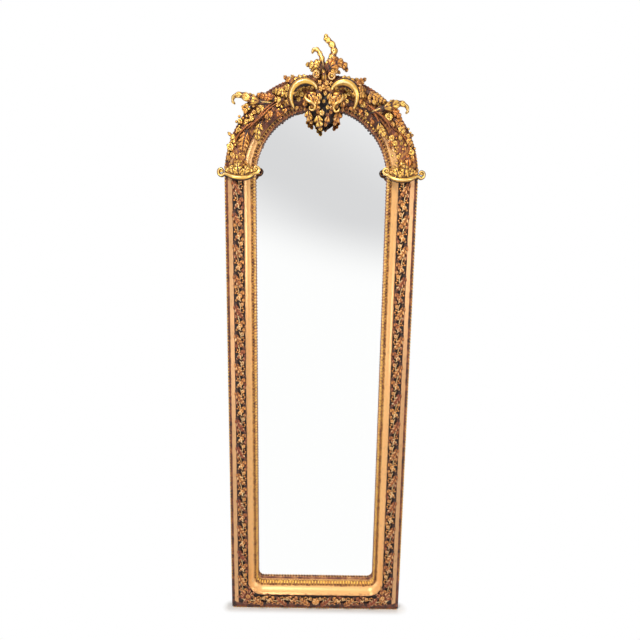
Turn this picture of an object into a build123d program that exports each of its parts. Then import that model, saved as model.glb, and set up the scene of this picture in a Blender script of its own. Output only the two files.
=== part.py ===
"""Full-length floor mirror with a round-arched, deeply moulded frame in gilt.

Pine carcass: two stiles, a mitred bottom rail with rounded corner fillets, and an arch of four
segments on dowels. Pressed bead and foliage courses are bedded on it, and the arch carries cast
leaves, scrolls, a shield-shaped cartouche and a plumed crest. Behind the glass are retaining
fillets, a plywood back and two strap hangers with swinging D rings.

Millimetres, +Z up, the front faces -Y, and the origin is on the floor under the middle of the
overall box. "w" is the distance outwards from the sight edge, "f" the distance in front of the
glass face.
"""

from build123d import *
import math
import os

# Driving dimensions of the frame
SIGHT_HALF = 235.0  # half of the clear width between the stiles
SIGHT_BOTTOM = 106.0  # height of the lower sight edge
SPRING_Z = 1715.0  # height of the arch's centre
MOULD_W = 106.0  # width of the moulding, sight edge to outer side
GLASS_Y = 43.0  # y of the front face of the glass
BACK_F = -20.0  # back plane of the frame
LIP_W = 10.0  # how far the frame laps over the glass
INNER_W = 36.0  # where the steep inner cove ends and the foliage seat begins
CORNER_R = 22.0  # radius of the sight edge at the two bottom corners

# Heights of the profile in front of the glass
SIGHT_F = 6.0
COVE_LOW = (17.0, 30.0)
COVE_MID = (29.5, 44.0)
COVE_TOP = (34.5, 62.0)
RIM_F = 61.5
SEAT_INNER_F = 60.0
SEAT_OUTER = (75.0, 56.0)
BAND_TOP = (76.0, 59.0)
BAND_LOW = (93.5, 50.0)
OUTER_F = 40.0

# Glass, fillets and back
GLASS_T = 5.0
GLASS_GAP = 2.0
PAD_X = 140.0
PAD_L = 60.0
FILLET_W = 8.0
FILLET_T = 10.0
BOARD_T = 5.0
BOARD_LAP = 28.0
BOARD_SCREW_W = 19.0

# Screws
SCREW_R = 1.8
SCREW_HEAD_R = 3.6
SCREW_HEAD_H = 2.4
BOARD_SCREW_L = 22.0
BOARD_SCREW_X = (-150, 0, 150)
BOARD_SCREW_Z = (200, 445, 690, 935, 1180, 1425, 1670)
BOARD_SCREW_DEG = (22, 67, 113, 158)
HANGER_SCREW_L = 18.0

# Strap hangers
HANGER_X = 306.0
HANGER_Z = 1503.0
STRAP_W = 18.0
STRAP_L = 60.0
STRAP_T = 1.2
PIVOT_OUT = 3.0  # pivot axis behind the frame's back plane
WIRE_R = 1.5
BARREL_BORE_R = 1.6
BARREL_R = 2.8
BARREL_L = 14.0
TONGUE_DROP = 0.5  # the tongue that turns into the barrel stops this far under its axis
TONGUE_GAP = 0.2
STRAP_HOLES = (16.0, 50.0)
RING_HALF = 15.0
RING_LEG = 12.0

MITRE_SPARE = 40.0
DOWEL_R = 5.0
DOWEL_HALF = 20.0
DOWEL_AT = ((52.0, 8.0), (80.0, 8.0))
ARCH_SEGMENTS = 4

OUTER_HALF = SIGHT_HALF + MOULD_W
CORNER_X = SIGHT_HALF - CORNER_R
CORNER_Z = SIGHT_BOTTOM + CORNER_R
SIDES = (("left", -1), ("right", 1))


def at(x, z, f):
    """Point at x and z on the elevation, f in front of the glass."""
    return Vector(x, GLASS_Y - f, z)


def polar(radius, degrees, f):
    """Point on the arch, from its centre, with 0 degrees at the right springing."""
    a = math.radians(degrees)
    return at(radius * math.cos(a), SPRING_Z + radius * math.sin(a), f)


def out_of_chord(a, b, sagitta):
    """Middle point of the arc that stands out from chord a-b, on its left."""
    dx, dy = b[0] - a[0], b[1] - a[1]
    length = math.hypot(dx, dy)
    return (
        (a[0] + b[0]) / 2 - dy / length * sagitta,
        (a[1] + b[1]) / 2 + dx / length * sagitta,
    )


# Profiles, each a face in (w, f)


def face_of(edges):
    return Face(Wire(edges))


def lines(*points):
    return [Line(a, b) for a, b in zip(points, points[1:])]


BEAD_SEAT = ((4.0, 9.0), (16.0, 28.0))
OUTER_SEAT = ((105.0, 41.0), (94.5, 49.5))


def inner_profile():
    """Lip, sight bead seat and steep cove, from the sight edge to INNER_W."""
    start = [(INNER_W, RIM_F), (INNER_W, BACK_F), (LIP_W, BACK_F), (LIP_W, 0), (0, 0), (0, SIGHT_F)]
    edges = lines(*start, BEAD_SEAT[0], BEAD_SEAT[1], COVE_LOW)
    edges.append(ThreePointArc(COVE_LOW, COVE_MID, COVE_TOP))
    edges += lines(COVE_TOP, (INNER_W, RIM_F))
    return face_of(edges)


def outer_profile():
    """Foliage seat, sloping flat band, outer bead seat and side."""
    return face_of(
        lines(
            (INNER_W, BACK_F),
            (INNER_W, SEAT_INNER_F),
            SEAT_OUTER,
            BAND_TOP,
            BAND_LOW,
            OUTER_SEAT[1],
            OUTER_SEAT[0],
            (MOULD_W, OUTER_F),
            (MOULD_W, BACK_F),
            (INNER_W, BACK_F),
        )
    )


def bead_profile(seat, sagitta):
    a, b = seat
    return face_of([Line(b, a), ThreePointArc(a, out_of_chord(a, b, sagitta), b)])


FOLIAGE_SEAT = (SEAT_OUTER, (INNER_W + 0.5, SEAT_INNER_F))
SIGHT_BEAD_SAGITTA = 6.0
OUTER_BEAD_SAGITTA = -4.5
FOLIAGE_SAGITTA = -8.0
RIM_GAP = 0.1

# How far the straight courses stop short of the corner they run to
OUTER_BEAD_STOP = 12.0
STILE_FOLIAGE_STOP = 6.0
RAIL_FOLIAGE_STOP = 2.0


def right_plane(z=0.0):
    return Plane(origin=(SIGHT_HALF, GLASS_Y, z), x_dir=(1, 0, 0), z_dir=(0, 0, -1))


def left_plane(z=0.0):
    return Plane(origin=(-SIGHT_HALF, GLASS_Y, z), x_dir=(-1, 0, 0), z_dir=(0, 0, 1))


def rail_plane(x=0.0):
    return Plane(origin=(x, GLASS_Y, SIGHT_BOTTOM), x_dir=(0, 0, -1), z_dir=(-1, 0, 0))


def upright(profile, side, low, high):
    plane = right_plane(low) if side > 0 else left_plane(low)
    return extrude(plane * profile, high - low, dir=(0, 0, 1))


def across(profile, half):
    return extrude(rail_plane(-half) * profile, 2 * half, dir=(1, 0, 0))


def swept_arch(profile, start, sweep):
    """Profile turned about the arch's centre, anticlockwise from the front."""
    axis = Axis((0, GLASS_Y, SPRING_Z), (0, -1, 0))
    whole = revolve(right_plane(SPRING_Z) * profile, axis, sweep)
    return whole.rotate(axis, start)


def box_between(x0, x1, z0, z1, f0, f1):
    """Box given by two corners on the elevation and two distances from the glass."""
    centre = at((x0 + x1) / 2, (z0 + z1) / 2, (f0 + f1) / 2)
    return Pos(centre) * Box(abs(x1 - x0), abs(f1 - f0), abs(z1 - z0))


def one_solid(shape):
    """The largest solid of a result, as a plain Solid."""
    return max(shape.solids(), key=lambda s: s.volume)


def foot_between_mitres():
    """Block over everything of the foot that lies between its two mitre lines."""
    reach = MOULD_W + MITRE_SPARE
    outline = Polyline(
        (-SIGHT_HALF, SIGHT_BOTTOM),
        (SIGHT_HALF, SIGHT_BOTTOM),
        (SIGHT_HALF + reach, SIGHT_BOTTOM - reach),
        (-SIGHT_HALF - reach, SIGHT_BOTTOM - reach),
        close=True,
    )
    plane = Plane(origin=(0, 2 * GLASS_Y, 0), x_dir=(1, 0, 0), z_dir=(0, -1, 0))
    return extrude(plane * Face(outline.wire()), 4 * GLASS_Y, dir=(0, -1, 0))


def stile(side):
    upper = upright(inner_profile(), side, CORNER_Z, SPRING_Z) + upright(
        outer_profile(), side, CORNER_Z, SPRING_Z
    )
    lower = upright(outer_profile(), side, 0, CORNER_Z) - foot_between_mitres()
    return one_solid(upper + lower)


def bottom_rail():
    outer = across(outer_profile(), OUTER_HALF) & foot_between_mitres()
    return one_solid(outer + across(inner_profile(), CORNER_X))


def corner_fillet(side):
    """Rounded inner corner: the cove and lip turned through a quarter, on a spandrel block."""
    centre = (side * CORNER_X, GLASS_Y, CORNER_Z)
    plane = Plane(
        origin=(side * SIGHT_HALF, GLASS_Y, CORNER_Z), x_dir=(side, 0, 0), z_dir=(0, 0, -side)
    )
    turned = revolve(plane * inner_profile(), Axis(centre, (0, side, 0)), 90)
    edge = side * (SIGHT_HALF + INNER_W)
    block = box_between(
        side * CORNER_X, edge, SIGHT_BOTTOM - INNER_W, CORNER_Z, BACK_F, SEAT_INNER_F
    )
    hub = Pos(centre) * Rot(90, 0, 0) * Cylinder(CORNER_R + INNER_W - 0.05, 400)
    rebate = box_between(
        0, side * (SIGHT_HALF + LIP_W), SIGHT_BOTTOM - LIP_W, CORNER_Z, BACK_F - 1, 0
    )
    return one_solid(turned + (block - hub) - rebate)


def arch_piece(index):
    sweep = 180 / ARCH_SEGMENTS
    start = index * sweep
    return one_solid(
        swept_arch(inner_profile(), start, sweep) + swept_arch(outer_profile(), start, sweep)
    )


def above_frame():
    """Section of the space in front of the seat and its two rims, which leaves may fill."""
    outer, inner = FOLIAGE_SEAT
    far, top = MOULD_W + 10, 2 * SEAT_INNER_F
    inner_rim, outer_rim = COVE_TOP[1] + RIM_GAP, BAND_TOP[1] + RIM_GAP
    return face_of(
        lines(
            (0, inner_rim),
            (inner[0], inner_rim),
            inner,
            outer,
            (outer[0], outer_rim),
            (far, outer_rim),
            (far, top),
            (0, top),
            (0, inner_rim),
        )
    )


def arched_plate(half, bottom, f_back, f_front):
    """Plate with a square foot and a round head, concentric with the arch."""
    foot = box_between(-half, half, bottom, SPRING_Z, f_back, f_front)
    head = Pos(at(0, SPRING_Z, (f_back + f_front) / 2)) * Rot(90, 0, 0)
    return one_solid(foot + head * Cylinder(half, f_front - f_back))


def setting_pad(x):
    """Rubber pad that the glass stands on, in the rebate of the rail."""
    low = SIGHT_BOTTOM - LIP_W
    return box_between(x - PAD_L / 2, x + PAD_L / 2, low, low + GLASS_GAP, -GLASS_T, 0)


def fillet_profile():
    """Square softwood strip that wedges the glass in its rebate."""
    back = -GLASS_T - FILLET_T
    return face_of(
        lines(
            (LIP_W - FILLET_W, back),
            (LIP_W, back),
            (LIP_W, -GLASS_T),
            (LIP_W - FILLET_W, -GLASS_T),
            (LIP_W - FILLET_W, back),
        )
    )


def screw(head, length):
    """Countersunk screw driven towards the front, with its head flush at a point on the back."""
    cone = Cone(SCREW_HEAD_R, SCREW_R, SCREW_HEAD_H, align=(Align.CENTER, Align.CENTER, Align.MIN))
    shank = Cylinder(SCREW_R, length, align=(Align.CENTER, Align.CENTER, Align.MIN))
    return Pos(head) * Rot(90, 0, 0) * (cone + shank)


def board_screws():
    """Screws round the plywood back, as head positions on its outer face."""
    f = BACK_F - BOARD_T
    half = SIGHT_HALF + BOARD_SCREW_W
    low = SIGHT_BOTTOM - BOARD_SCREW_W
    spots = [at(s * half, z, f) for _, s in SIDES for z in BOARD_SCREW_Z]
    spots += [at(x, low, f) for x in BOARD_SCREW_X]
    spots += [polar(half, a, f) for a in BOARD_SCREW_DEG]
    return [screw(p, BOARD_SCREW_L) for p in spots]


def arch_dowels():
    """Beech dowels across each joint of the arch and stiles."""
    found = []
    for joint in range(ARCH_SEGMENTS + 1):
        for w, f in DOWEL_AT:
            rod = Pos(SIGHT_HALF + w, GLASS_Y - f, SPRING_Z) * Cylinder(DOWEL_R, 2 * DOWEL_HALF)
            found.append(
                rod.rotate(
                    Axis((0, GLASS_Y, SPRING_Z), (0, -1, 0)), joint * 180 / ARCH_SEGMENTS
                )
            )
    return found


def hanger_strap(side):
    """Steel strap rolled into a barrel at its top, with two countersunk holes."""
    back = BACK_F
    top = HANGER_Z
    strap = box_between(
        side * HANGER_X - STRAP_W / 2,
        side * HANGER_X + STRAP_W / 2,
        top - BARREL_R - STRAP_L,
        top - BARREL_R,
        back - STRAP_T,
        back,
    )
    tongue = box_between(
        side * HANGER_X - BARREL_L / 2,
        side * HANGER_X + BARREL_L / 2,
        top - BARREL_R - 1,
        top - TONGUE_DROP,
        back - STRAP_T,
        back - TONGUE_GAP,
    )
    roll = Pos(at(side * HANGER_X, top, back - PIVOT_OUT)) * Rot(0, 90, 0)
    barrel = roll * Cylinder(BARREL_R, BARREL_L)
    bore = roll * Cylinder(BARREL_BORE_R, BARREL_L + 2)
    return strap + tongue + barrel - bore


def hanger_ring(side):
    """D ring of round wire, hanging down from its straight bar."""
    f = BACK_F - PIVOT_OUT
    x0 = side * HANGER_X
    bar = Pos(at(x0, HANGER_Z, f)) * Rot(0, 90, 0) * Cylinder(WIRE_R, 2 * RING_HALF)
    shape = bar
    for s in (-1, 1):
        shape += Pos(at(x0 + s * RING_HALF, HANGER_Z, f)) * Sphere(WIRE_R)
        shape += Pos(at(x0 + s * RING_HALF, HANGER_Z - RING_LEG / 2, f)) * Cylinder(
            WIRE_R, RING_LEG
        )
    bend = Rot(90, 0, 0) * Torus(RING_HALF, WIRE_R)
    lower = Pos(0, 0, -RING_HALF) * Box(4 * RING_HALF, 20, 2 * RING_HALF)
    shape += Pos(at(x0, HANGER_Z - RING_LEG, f)) * (bend & lower)
    return one_solid(shape)


# Carved and cast ornament


def tangents(points):
    found = []
    for i, p in enumerate(points):
        before = points[max(i - 1, 0)]
        after = points[min(i + 1, len(points) - 1)]
        found.append((after - before).normalized())
    return found


def blade(points, widths, crown=0.7, belly=0.5, facing=None):
    """Leaf blade: lens sections of the given half widths, lofted along a curved spine."""
    facing = facing or Vector(0, -1, 0)
    wires = []
    for p, t, w in zip(points, tangents(points), widths):
        side = t.cross(facing).normalized()
        up = side.cross(t).normalized()
        if up.dot(facing) < 0:
            up = -up
        a, b = p - side * w, p + side * w
        over = ThreePointArc(a, p + up * (w * crown), b)
        under = ThreePointArc(b, p - up * (w * belly), a)
        wires.append(Wire([over, under]))
    return Solid.make_loft(wires, False)


def stem(points, radii):
    """Round stem or scroll through straight tapered lengths."""
    wires = [
        Wire.make_circle(r, Plane(origin=p, z_dir=t))
        for p, t, r in zip(points, tangents(points), radii)
    ]
    return Solid.make_loft(wires, True)


def along(points, share):
    """Point and direction at a share of the way along a list of points."""
    place = share * (len(points) - 1)
    i = min(int(place), len(points) - 2)
    a, b = points[i], points[i + 1]
    return a + (b - a) * (place - i), (b - a).normalized()


def frond(points, widths, shares=(0.15, 0.4, 0.62), spread=50, lobe=1.15):
    """Acanthus leaf: a blade with pointed lobes on both sides of its spine."""
    parts = [blade(points, widths)]
    front = Vector(0, -1, 0)
    for share in shares:
        base, ahead = along(points, share)
        place = share * (len(widths) - 1)
        i = min(int(place), len(widths) - 2)
        width = widths[i] + (widths[i + 1] - widths[i]) * (place - i)
        for s in (-1, 1):
            away = ahead.rotate(Axis((0, 0, 0), (0, -1, 0)), s * spread)
            reach = width * 2 * lobe
            spine = [
                base,
                base + away * (reach * 0.55) + front * (width * 0.15),
                base + away * (reach * 0.8) + ahead * (reach * 0.3) - front * (width * 0.1),
            ]
            parts.append(blade(spine, (width * 0.45, width * 0.42, width * 0.08)))
    return parts


def fused(parts):
    first, *rest = parts
    whole = first.fuse(*rest) if rest else first
    return Compound(children=whole.solids()) if len(whole.solids()) > 1 else one_solid(whole)


def spiral(centre, start_r, end_r, start_deg, sweep_deg, f, steps, bulge=0.0):
    """Points of a flat spiral on the elevation, rising by bulge to its eye."""
    found = []
    for k in range(steps + 1):
        share = k / steps
        a = math.radians(start_deg + sweep_deg * share)
        r = start_r + (end_r - start_r) * share
        x, z = centre
        found.append(at(x + r * math.cos(a), z + r * math.sin(a), f + bulge * share))
    return found


def taper(start, end, count):
    return [start + (end - start) * k / (count - 1) for k in range(count)]


def foliage_bed():
    """Section of the carved torus between the cove and the flat band, at its mean height."""
    return bead_profile(FOLIAGE_SEAT, FOLIAGE_SAGITTA)


ARCH_LEAVES = (
    ([(300, 34, 62), (287, 46, 73), (270, 56, 74), (257, 64, 64)], (8, 17, 12, 2)),
    ([(300, 60, 62), (292, 69, 72), (284, 77, 70), (280, 84, 64)], (7, 14, 11, 2)),
    ([(296, 30, 62), (284, 22, 70), (278, 14, 64)], (6, 12, 3)),
)
ARCH_FLOWERS = ((303, 52), (297, 66), (300, 77))
FLOWER_R = 12.0
FLOWER_F = 60.0


def foliage_arch(side):
    """Foliage of half the arch: the bed with three large leaves and three flowers on it."""

    def place(radius, degrees, f):
        return polar(radius, 90 - side * degrees, f)

    parts = [swept_arch(foliage_bed(), 90 if side < 0 else 0, 90)]
    for spots, widths in ARCH_LEAVES:
        parts.append(blade([place(*s) for s in spots], widths, 0.7, 0.2))
    for radius, degrees in ARCH_FLOWERS:
        parts.append(Pos(place(radius, degrees, FLOWER_F)) * Sphere(FLOWER_R))
    room = swept_arch(above_frame(), 90 if side < 0 else 0, 90)
    return one_solid(fused(parts) & room)


# Points of the crest and haunches, as (x, z, f), read off the elevation
HORN = {
    -1: [(-168, 1957, 70), (-205, 1960, 76), (-240, 1972, 74), (-270, 1981, 66), (-292, 1973, 58)],
    1: [(165, 1930, 70), (200, 1944, 76), (232, 1954, 74), (262, 1957, 66), (280, 1950, 58)],
}
HORN_WIDTHS = (6, 13, 15, 10, 8)
HORN_CURL_R = 13.0


def horn_leaf(side):
    """Long leaf that leaves the arch at the haunch and curls over at its tip."""
    spots = [at(*p) for p in HORN[side]]
    x, z, f = HORN[side][-1]
    hook = spiral(
        (x - side * 4, z - HORN_CURL_R), HORN_CURL_R, 7, 90 + side * 25, -side * 185, f, 8, -4
    )
    parts = frond(spots, HORN_WIDTHS, shares=(0.3, 0.55), spread=38, lobe=0.85)
    parts.append(stem(hook, taper(6, 2.5, 9)))
    return fused(parts)


COLLAR_OUT = 352.0
COLLAR_IN = 229.0


def collar(side):
    """Acanthus collar at the springing: a C scroll under the arch, a volute at each end."""
    sweep = [
        at(side * x, z, f)
        for x, z, f in (
            (241, 1726, 52),
            (248, 1716, 66),
            (262, 1708, 74),
            (284, 1705, 79),
            (306, 1707, 74),
            (324, 1713, 62),
            (337, 1722, 54),
        )
    ]
    outer_eye = (side * COLLAR_OUT, 1727)
    inner_eye = (side * COLLAR_IN, 1735)
    out_start = 200 if side > 0 else -20
    in_start = -20 if side > 0 else 200
    parts = [
        stem(sweep, (6, 7.5, 8.5, 9, 8.5, 7, 6)),
        stem(spiral(outer_eye, 12, 4, out_start, side * 330, 52, 12, 3), taper(6, 3, 13)),
        stem(spiral(inner_eye, 11, 4, in_start, -side * 330, 50, 12, 3), taper(6, 3, 13)),
    ]
    return fused(parts)


def collar_leaf(side):
    """Spray of three leaves that rises out of the collar on to the arch."""
    parts = frond(
        [at(side * x, z, f) for x, z, f in ((284, 1712, 76), (287, 1742, 80), (291, 1772, 70))],
        (9, 11, 2),
        shares=(0.3, 0.6),
    )
    for lean, width in ((-26, 8), (28, 8)):
        spots = [
            at(side * (284 + lean * 0.1), 1714, 72),
            at(side * (286 + lean * 0.7), 1738, 74),
            at(side * (286 + lean * 1.2), 1762, 62),
        ]
        parts.append(blade(spots, (7, width, 1.5)))
    return fused(parts)


CROWN = {
    -1: [(-88, 1940, 72), (-97, 1962, 82), (-96, 1988, 88), (-84, 2010, 92), (-64, 2022, 94)]
    + [(-44, 2019, 94), (-29, 2004, 92), (-24, 1986, 88)],
    1: [(97, 1936, 72), (106, 1958, 82), (104, 1984, 88), (92, 2004, 92), (73, 2015, 94)]
    + [(53, 2013, 94), (38, 2000, 92), (32, 1982, 88)],
}


def crown_scroll(side):
    """Hooped C scroll beside the cartouche, with a fringe of short lobes inside."""
    spots = [at(*p) for p in CROWN[side]]
    parts = [stem(spots, (3.5, 5.5, 7.5, 9, 9.5, 8.5, 6.5, 4))]
    centre = at(side * 66 + 4, 1984, 88)
    for share in (0.42, 0.55, 0.68, 0.82):
        base, _ = along(spots, share)
        inward = (centre - base).normalized()
        tip = base + inward * 15
        parts.append(blade([base, base + inward * 8, tip], (5, 4.5, 1), facing=Vector(0, -1, 0.01)))
    return fused(parts)


def crown_leaf(side):
    """Lobed leaf on the back of the crown scroll, lying along the arch."""
    spots = [
        at(*p)
        for p in (
            (side * 92 + 5, 1998, 80),
            (side * 112 + 5, 2008, 84),
            (side * 128 + 4, 2000, 80),
            (side * 146 + 2, 1982, 72),
        )
    ]
    parts = frond(spots, (9, 17, 15, 4), shares=(0.1, 0.4, 0.7), spread=60, lobe=0.95)
    peak = [at(side * 96 + 6, 2012, 76), at(side * 108 + 8, 2032, 72), at(side * 116 + 9, 2046, 62)]
    parts.append(blade(peak, (8, 9, 2)))
    return fused(parts)


def scroll_flower(side):
    """Two small flowers on one stalk in the hollow of the crown scroll."""
    heads = (at(side * 70 + 4, 1996, 72), at(side * 78 + 4, 1966, 70))
    stalk = [heads[0], at(side * 66 + 4, 1980, 68), heads[1]]
    parts = [stem(stalk, (4, 5, 4))]
    for head, radius in zip(heads, (10, 9)):
        parts.append(Pos(head) * Sphere(radius))
    return fused(parts)


def cartouche():
    """Shield under the crest: a swelling shell that ends in three pointed lobes."""
    body = [at(4, 1992, 72), at(4, 1972, 80), at(4, 1945, 82), at(3, 1918, 76), at(2, 1900, 66)]
    parts = [blade(body, (26, 44, 50, 36, 14), 0.36, 0.3)]
    for x0, x1, z0, z1, w in ((3, -2, 1912, 1867, 14), (-28, -36, 1932, 1895, 11)):
        parts.append(
            blade([at(x0, z0, 76), at((x0 + x1) / 2, (z0 + z1) / 2, 78), at(x1, z1, 68)], (w, w, 2))
        )
    parts.append(blade([at(34, 1930, 76), at(39, 1908, 78), at(43, 1888, 68)], (11, 11, 2)))
    for _, side in SIDES:
        rim = [at(side * 49 + 5, 1972, 78), at(side * 56 + 5, 1948, 80), at(side * 45 + 4, 1915, 76)]
        parts.append(stem(rim, (5, 6, 4)))
    return fused(parts)


def cartouche_leaf(side):
    """Fluted leaf, shaped like half a shell, on the face of the cartouche."""
    spots = [
        at(*p)
        for p in (
            (side * 38 + 6, 1996, 90),
            (side * 34 + 6, 1976, 100),
            (side * 26 + 6, 1955, 100),
            (side * 22 + 5, 1934, 90),
        )
    ]
    parts = [blade(spots, (7, 15, 13, 4))]
    for shift in (-8, 0, 8):
        rib = [p + Vector(shift, -6, 2 * shift * side * -0.5) for p in spots[:3]]
        parts.append(blade(rib, (2, 3.5, 2)))
    return fused(parts)


def finial_plume():
    """Tall plume of the crest: it leans right, turns back and ends in a rolled tip."""
    spots = [
        at(*p)
        for p in (
            (4, 2056, 66),
            (20, 2086, 70),
            (32, 2118, 66),
            (27, 2148, 62),
            (14, 2166, 64),
            (6, 2180, 60),
        )
    ]
    parts = [blade(spots, (13, 14, 11, 10, 9, 3), 0.8, 0.6)]
    parts.append(Pos(at(10, 2158, 68)) * Sphere(7))
    return fused(parts)


def finial_curl():
    """Smaller plume that hooks over to the left."""
    spots = [(-4, 2056, 64), (-12, 2090, 68), (-22, 2116, 64), (-36, 2133, 62), (-49, 2127, 60)]
    parts = [blade([at(*p) for p in spots], (9, 11, 8, 7, 3), 0.8, 0.6)]
    return fused(parts)


def finial_leaf(side):
    """Spreading leaf at the foot of the crest."""
    if side < 0:
        spots = [(-2, 2052, 70), (-22, 2066, 80), (-42, 2076, 74), (-60, 2078, 62)]
        widths = (10, 15, 12, 4)
    else:
        spots = [(8, 2050, 70), (30, 2066, 82), (54, 2078, 76), (76, 2068, 62)]
        widths = (12, 20, 15, 3)
    return fused(frond([at(*p) for p in spots], widths, shares=(0.35, 0.68), spread=55, lobe=0.9))


FRUIT_R = 13.0
FRUIT_F = 76.0


def finial_bud():
    """Pointed bud on the middle line, over a knot of small curls."""
    parts = [blade([at(-2, 2012, 88), at(-2, 2040, 96), at(-3, 2064, 84)], (8, 9, 1.5), 0.9, 0.7)]
    for x, z, f, r in ((-11, 2008, 86, 10), (9, 2006, 85, 10.5), (-1, 1996, 84, 11)):
        parts.append(Pos(at(x, z, f)) * Sphere(r))
    return fused(parts)


def finial_fruits():
    """Two round fruits under the spreading leaves."""
    return [Pos(at(x, z, FRUIT_F)) * Sphere(FRUIT_R) for x, z in ((-25, 2037), (28, 2035))]


TENON_X = (-22.0, 26.0)
TENON_F = (20.0, 34.0)
TENON_DEPTH = 26.0
BLOCK_FRONT_F = 58.0
BLOCK_H = 32.0


def crest_tenon():
    """Hardwood tongue let into the head of the arch, with a block that backs the crest."""
    head = SPRING_Z + OUTER_HALF
    tongue = box_between(*TENON_X, head - TENON_DEPTH, head + 1, *TENON_F)
    return one_solid(tongue + box_between(*TENON_X, head, head + BLOCK_H, TENON_F[0], BLOCK_FRONT_F))


def group(pieces):
    """Separate solids of one node."""
    return Compound(children=pieces)


def build():
    """Every piece by node name."""
    nodes = {}
    for name, side in SIDES:
        nodes[f"stile_{name}"] = stile(side)
        nodes[f"corner_fillet_{name}"] = corner_fillet(side)
        nodes[f"hanger_strap_{name}"] = hanger_strap(side)
        nodes[f"hanger_ring_{name}"] = hanger_ring(side)
        nodes[f"outer_bead_{name}"] = upright(
            bead_profile(OUTER_SEAT, OUTER_BEAD_SAGITTA), side, OUTER_BEAD_STOP, SPRING_Z
        )
        nodes[f"sight_bead_{name}"] = upright(
            bead_profile(BEAD_SEAT, SIGHT_BEAD_SAGITTA), side, CORNER_Z, SPRING_Z
        )
        nodes[f"retaining_fillet_{name}"] = upright(
            fillet_profile(), side, SIGHT_BOTTOM - LIP_W + FILLET_W, SPRING_Z
        )
        nodes[f"foliage_stile_{name}"] = upright(
            foliage_bed(), side, SIGHT_BOTTOM - INNER_W + STILE_FOLIAGE_STOP, SPRING_Z
        )
        nodes[f"foliage_arch_{name}"] = foliage_arch(side)
        nodes[f"horn_leaf_{name}"] = horn_leaf(side)
        nodes[f"collar_{name}"] = collar(side)
        nodes[f"collar_leaf_{name}"] = collar_leaf(side)
        nodes[f"crown_scroll_{name}"] = crown_scroll(side)
        nodes[f"crown_leaf_{name}"] = crown_leaf(side)
        nodes[f"scroll_flower_{name}"] = scroll_flower(side)
        nodes[f"cartouche_leaf_{name}"] = cartouche_leaf(side)
        nodes[f"finial_leaf_{name}"] = finial_leaf(side)
    for index, name in enumerate(("right_low", "right_high", "left_high", "left_low")):
        nodes[f"arch_segment_{name}"] = arch_piece(index)
    nodes["bottom_rail"] = bottom_rail()
    nodes["foliage_rail"] = across(
        foliage_bed(), SIGHT_HALF + INNER_W - RAIL_FOLIAGE_STOP
    )
    nodes["outer_bead_arch"] = swept_arch(bead_profile(OUTER_SEAT, OUTER_BEAD_SAGITTA), 0, 180)
    nodes["sight_bead_arch"] = swept_arch(bead_profile(BEAD_SEAT, SIGHT_BEAD_SAGITTA), 0, 180)
    nodes["sight_bead_foot"] = sight_bead_foot()
    nodes["outer_bead_foot"] = across(
        bead_profile(OUTER_SEAT, OUTER_BEAD_SAGITTA), OUTER_HALF - OUTER_BEAD_STOP
    )
    nodes["retaining_fillet_arch"] = swept_arch(fillet_profile(), 0, 180)
    nodes["retaining_fillet_foot"] = across(fillet_profile(), SIGHT_HALF + LIP_W)
    nodes["mirror_glass"] = arched_plate(
        SIGHT_HALF + LIP_W - GLASS_GAP, SIGHT_BOTTOM - LIP_W + GLASS_GAP, -GLASS_T, 0
    )
    nodes["setting_pads"] = group([setting_pad(-PAD_X), setting_pad(PAD_X)])
    nodes["back_board"] = arched_plate(
        SIGHT_HALF + BOARD_LAP, SIGHT_BOTTOM - BOARD_LAP, BACK_F - BOARD_T, BACK_F
    )
    nodes["cartouche"] = cartouche()
    nodes["finial_plume"] = finial_plume()
    nodes["finial_curl"] = finial_curl()
    nodes["finial_bud"] = finial_bud()
    nodes["finial_fruits"] = group(finial_fruits())
    nodes["crest_tenon"] = crest_tenon()
    add_fasteners(nodes)
    return nodes


def sight_bead_foot():
    """Sight bead along the rail and round both bottom corners, in one bent length."""
    whole = across(bead_profile(BEAD_SEAT, SIGHT_BEAD_SAGITTA), CORNER_X)
    for _, side in SIDES:
        plane = Plane(
            origin=(side * SIGHT_HALF, GLASS_Y, CORNER_Z), x_dir=(side, 0, 0), z_dir=(0, 0, -side)
        )
        axis = Axis((side * CORNER_X, GLASS_Y, CORNER_Z), (0, side, 0))
        whole += revolve(plane * bead_profile(BEAD_SEAT, SIGHT_BEAD_SAGITTA), axis, 90)
    return one_solid(whole)


def add_fasteners(nodes):
    """Screws and dowels, and the holes that they fill."""
    board = board_screws()
    straps = []
    for _, side in SIDES:
        for drop in STRAP_HOLES:
            straps.append(
                screw(at(side * HANGER_X, HANGER_Z - drop, BACK_F - STRAP_T), HANGER_SCREW_L)
            )
    dowels = arch_dowels()
    wooden = [n for n in nodes if n.startswith(("stile", "arch_segment", "bottom_rail"))]
    for name in wooden:
        for tool in (*board, *straps, *dowels, nodes["crest_tenon"]):
            if nodes[name].bounding_box().overlaps(tool.bounding_box()):
                nodes[name] = one_solid(nodes[name] - tool)
    for tool in board:
        nodes["back_board"] = one_solid(nodes["back_board"] - tool)
    for name, side in SIDES:
        for tool in straps:
            strap = nodes[f"hanger_strap_{name}"]
            if strap.bounding_box().overlaps(tool.bounding_box()):
                nodes[f"hanger_strap_{name}"] = one_solid(strap - tool)
    nodes["back_board_screws"] = group(board)
    nodes["hanger_screws"] = group(straps)
    nodes["arch_dowels"] = group(dowels)


os.makedirs("parts", exist_ok=True)
pieces = build()
for node, shape in sorted(pieces.items()):
    export_step(shape, f"parts/{node}.step")
print(len(pieces), "nodes")
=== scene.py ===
"""Looks of a full-length floor mirror in a round-arched gilt frame, built around its fixed frame."""

import math
import random

import bmesh
import bpy
from mathutils import Matrix, Vector


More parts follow.
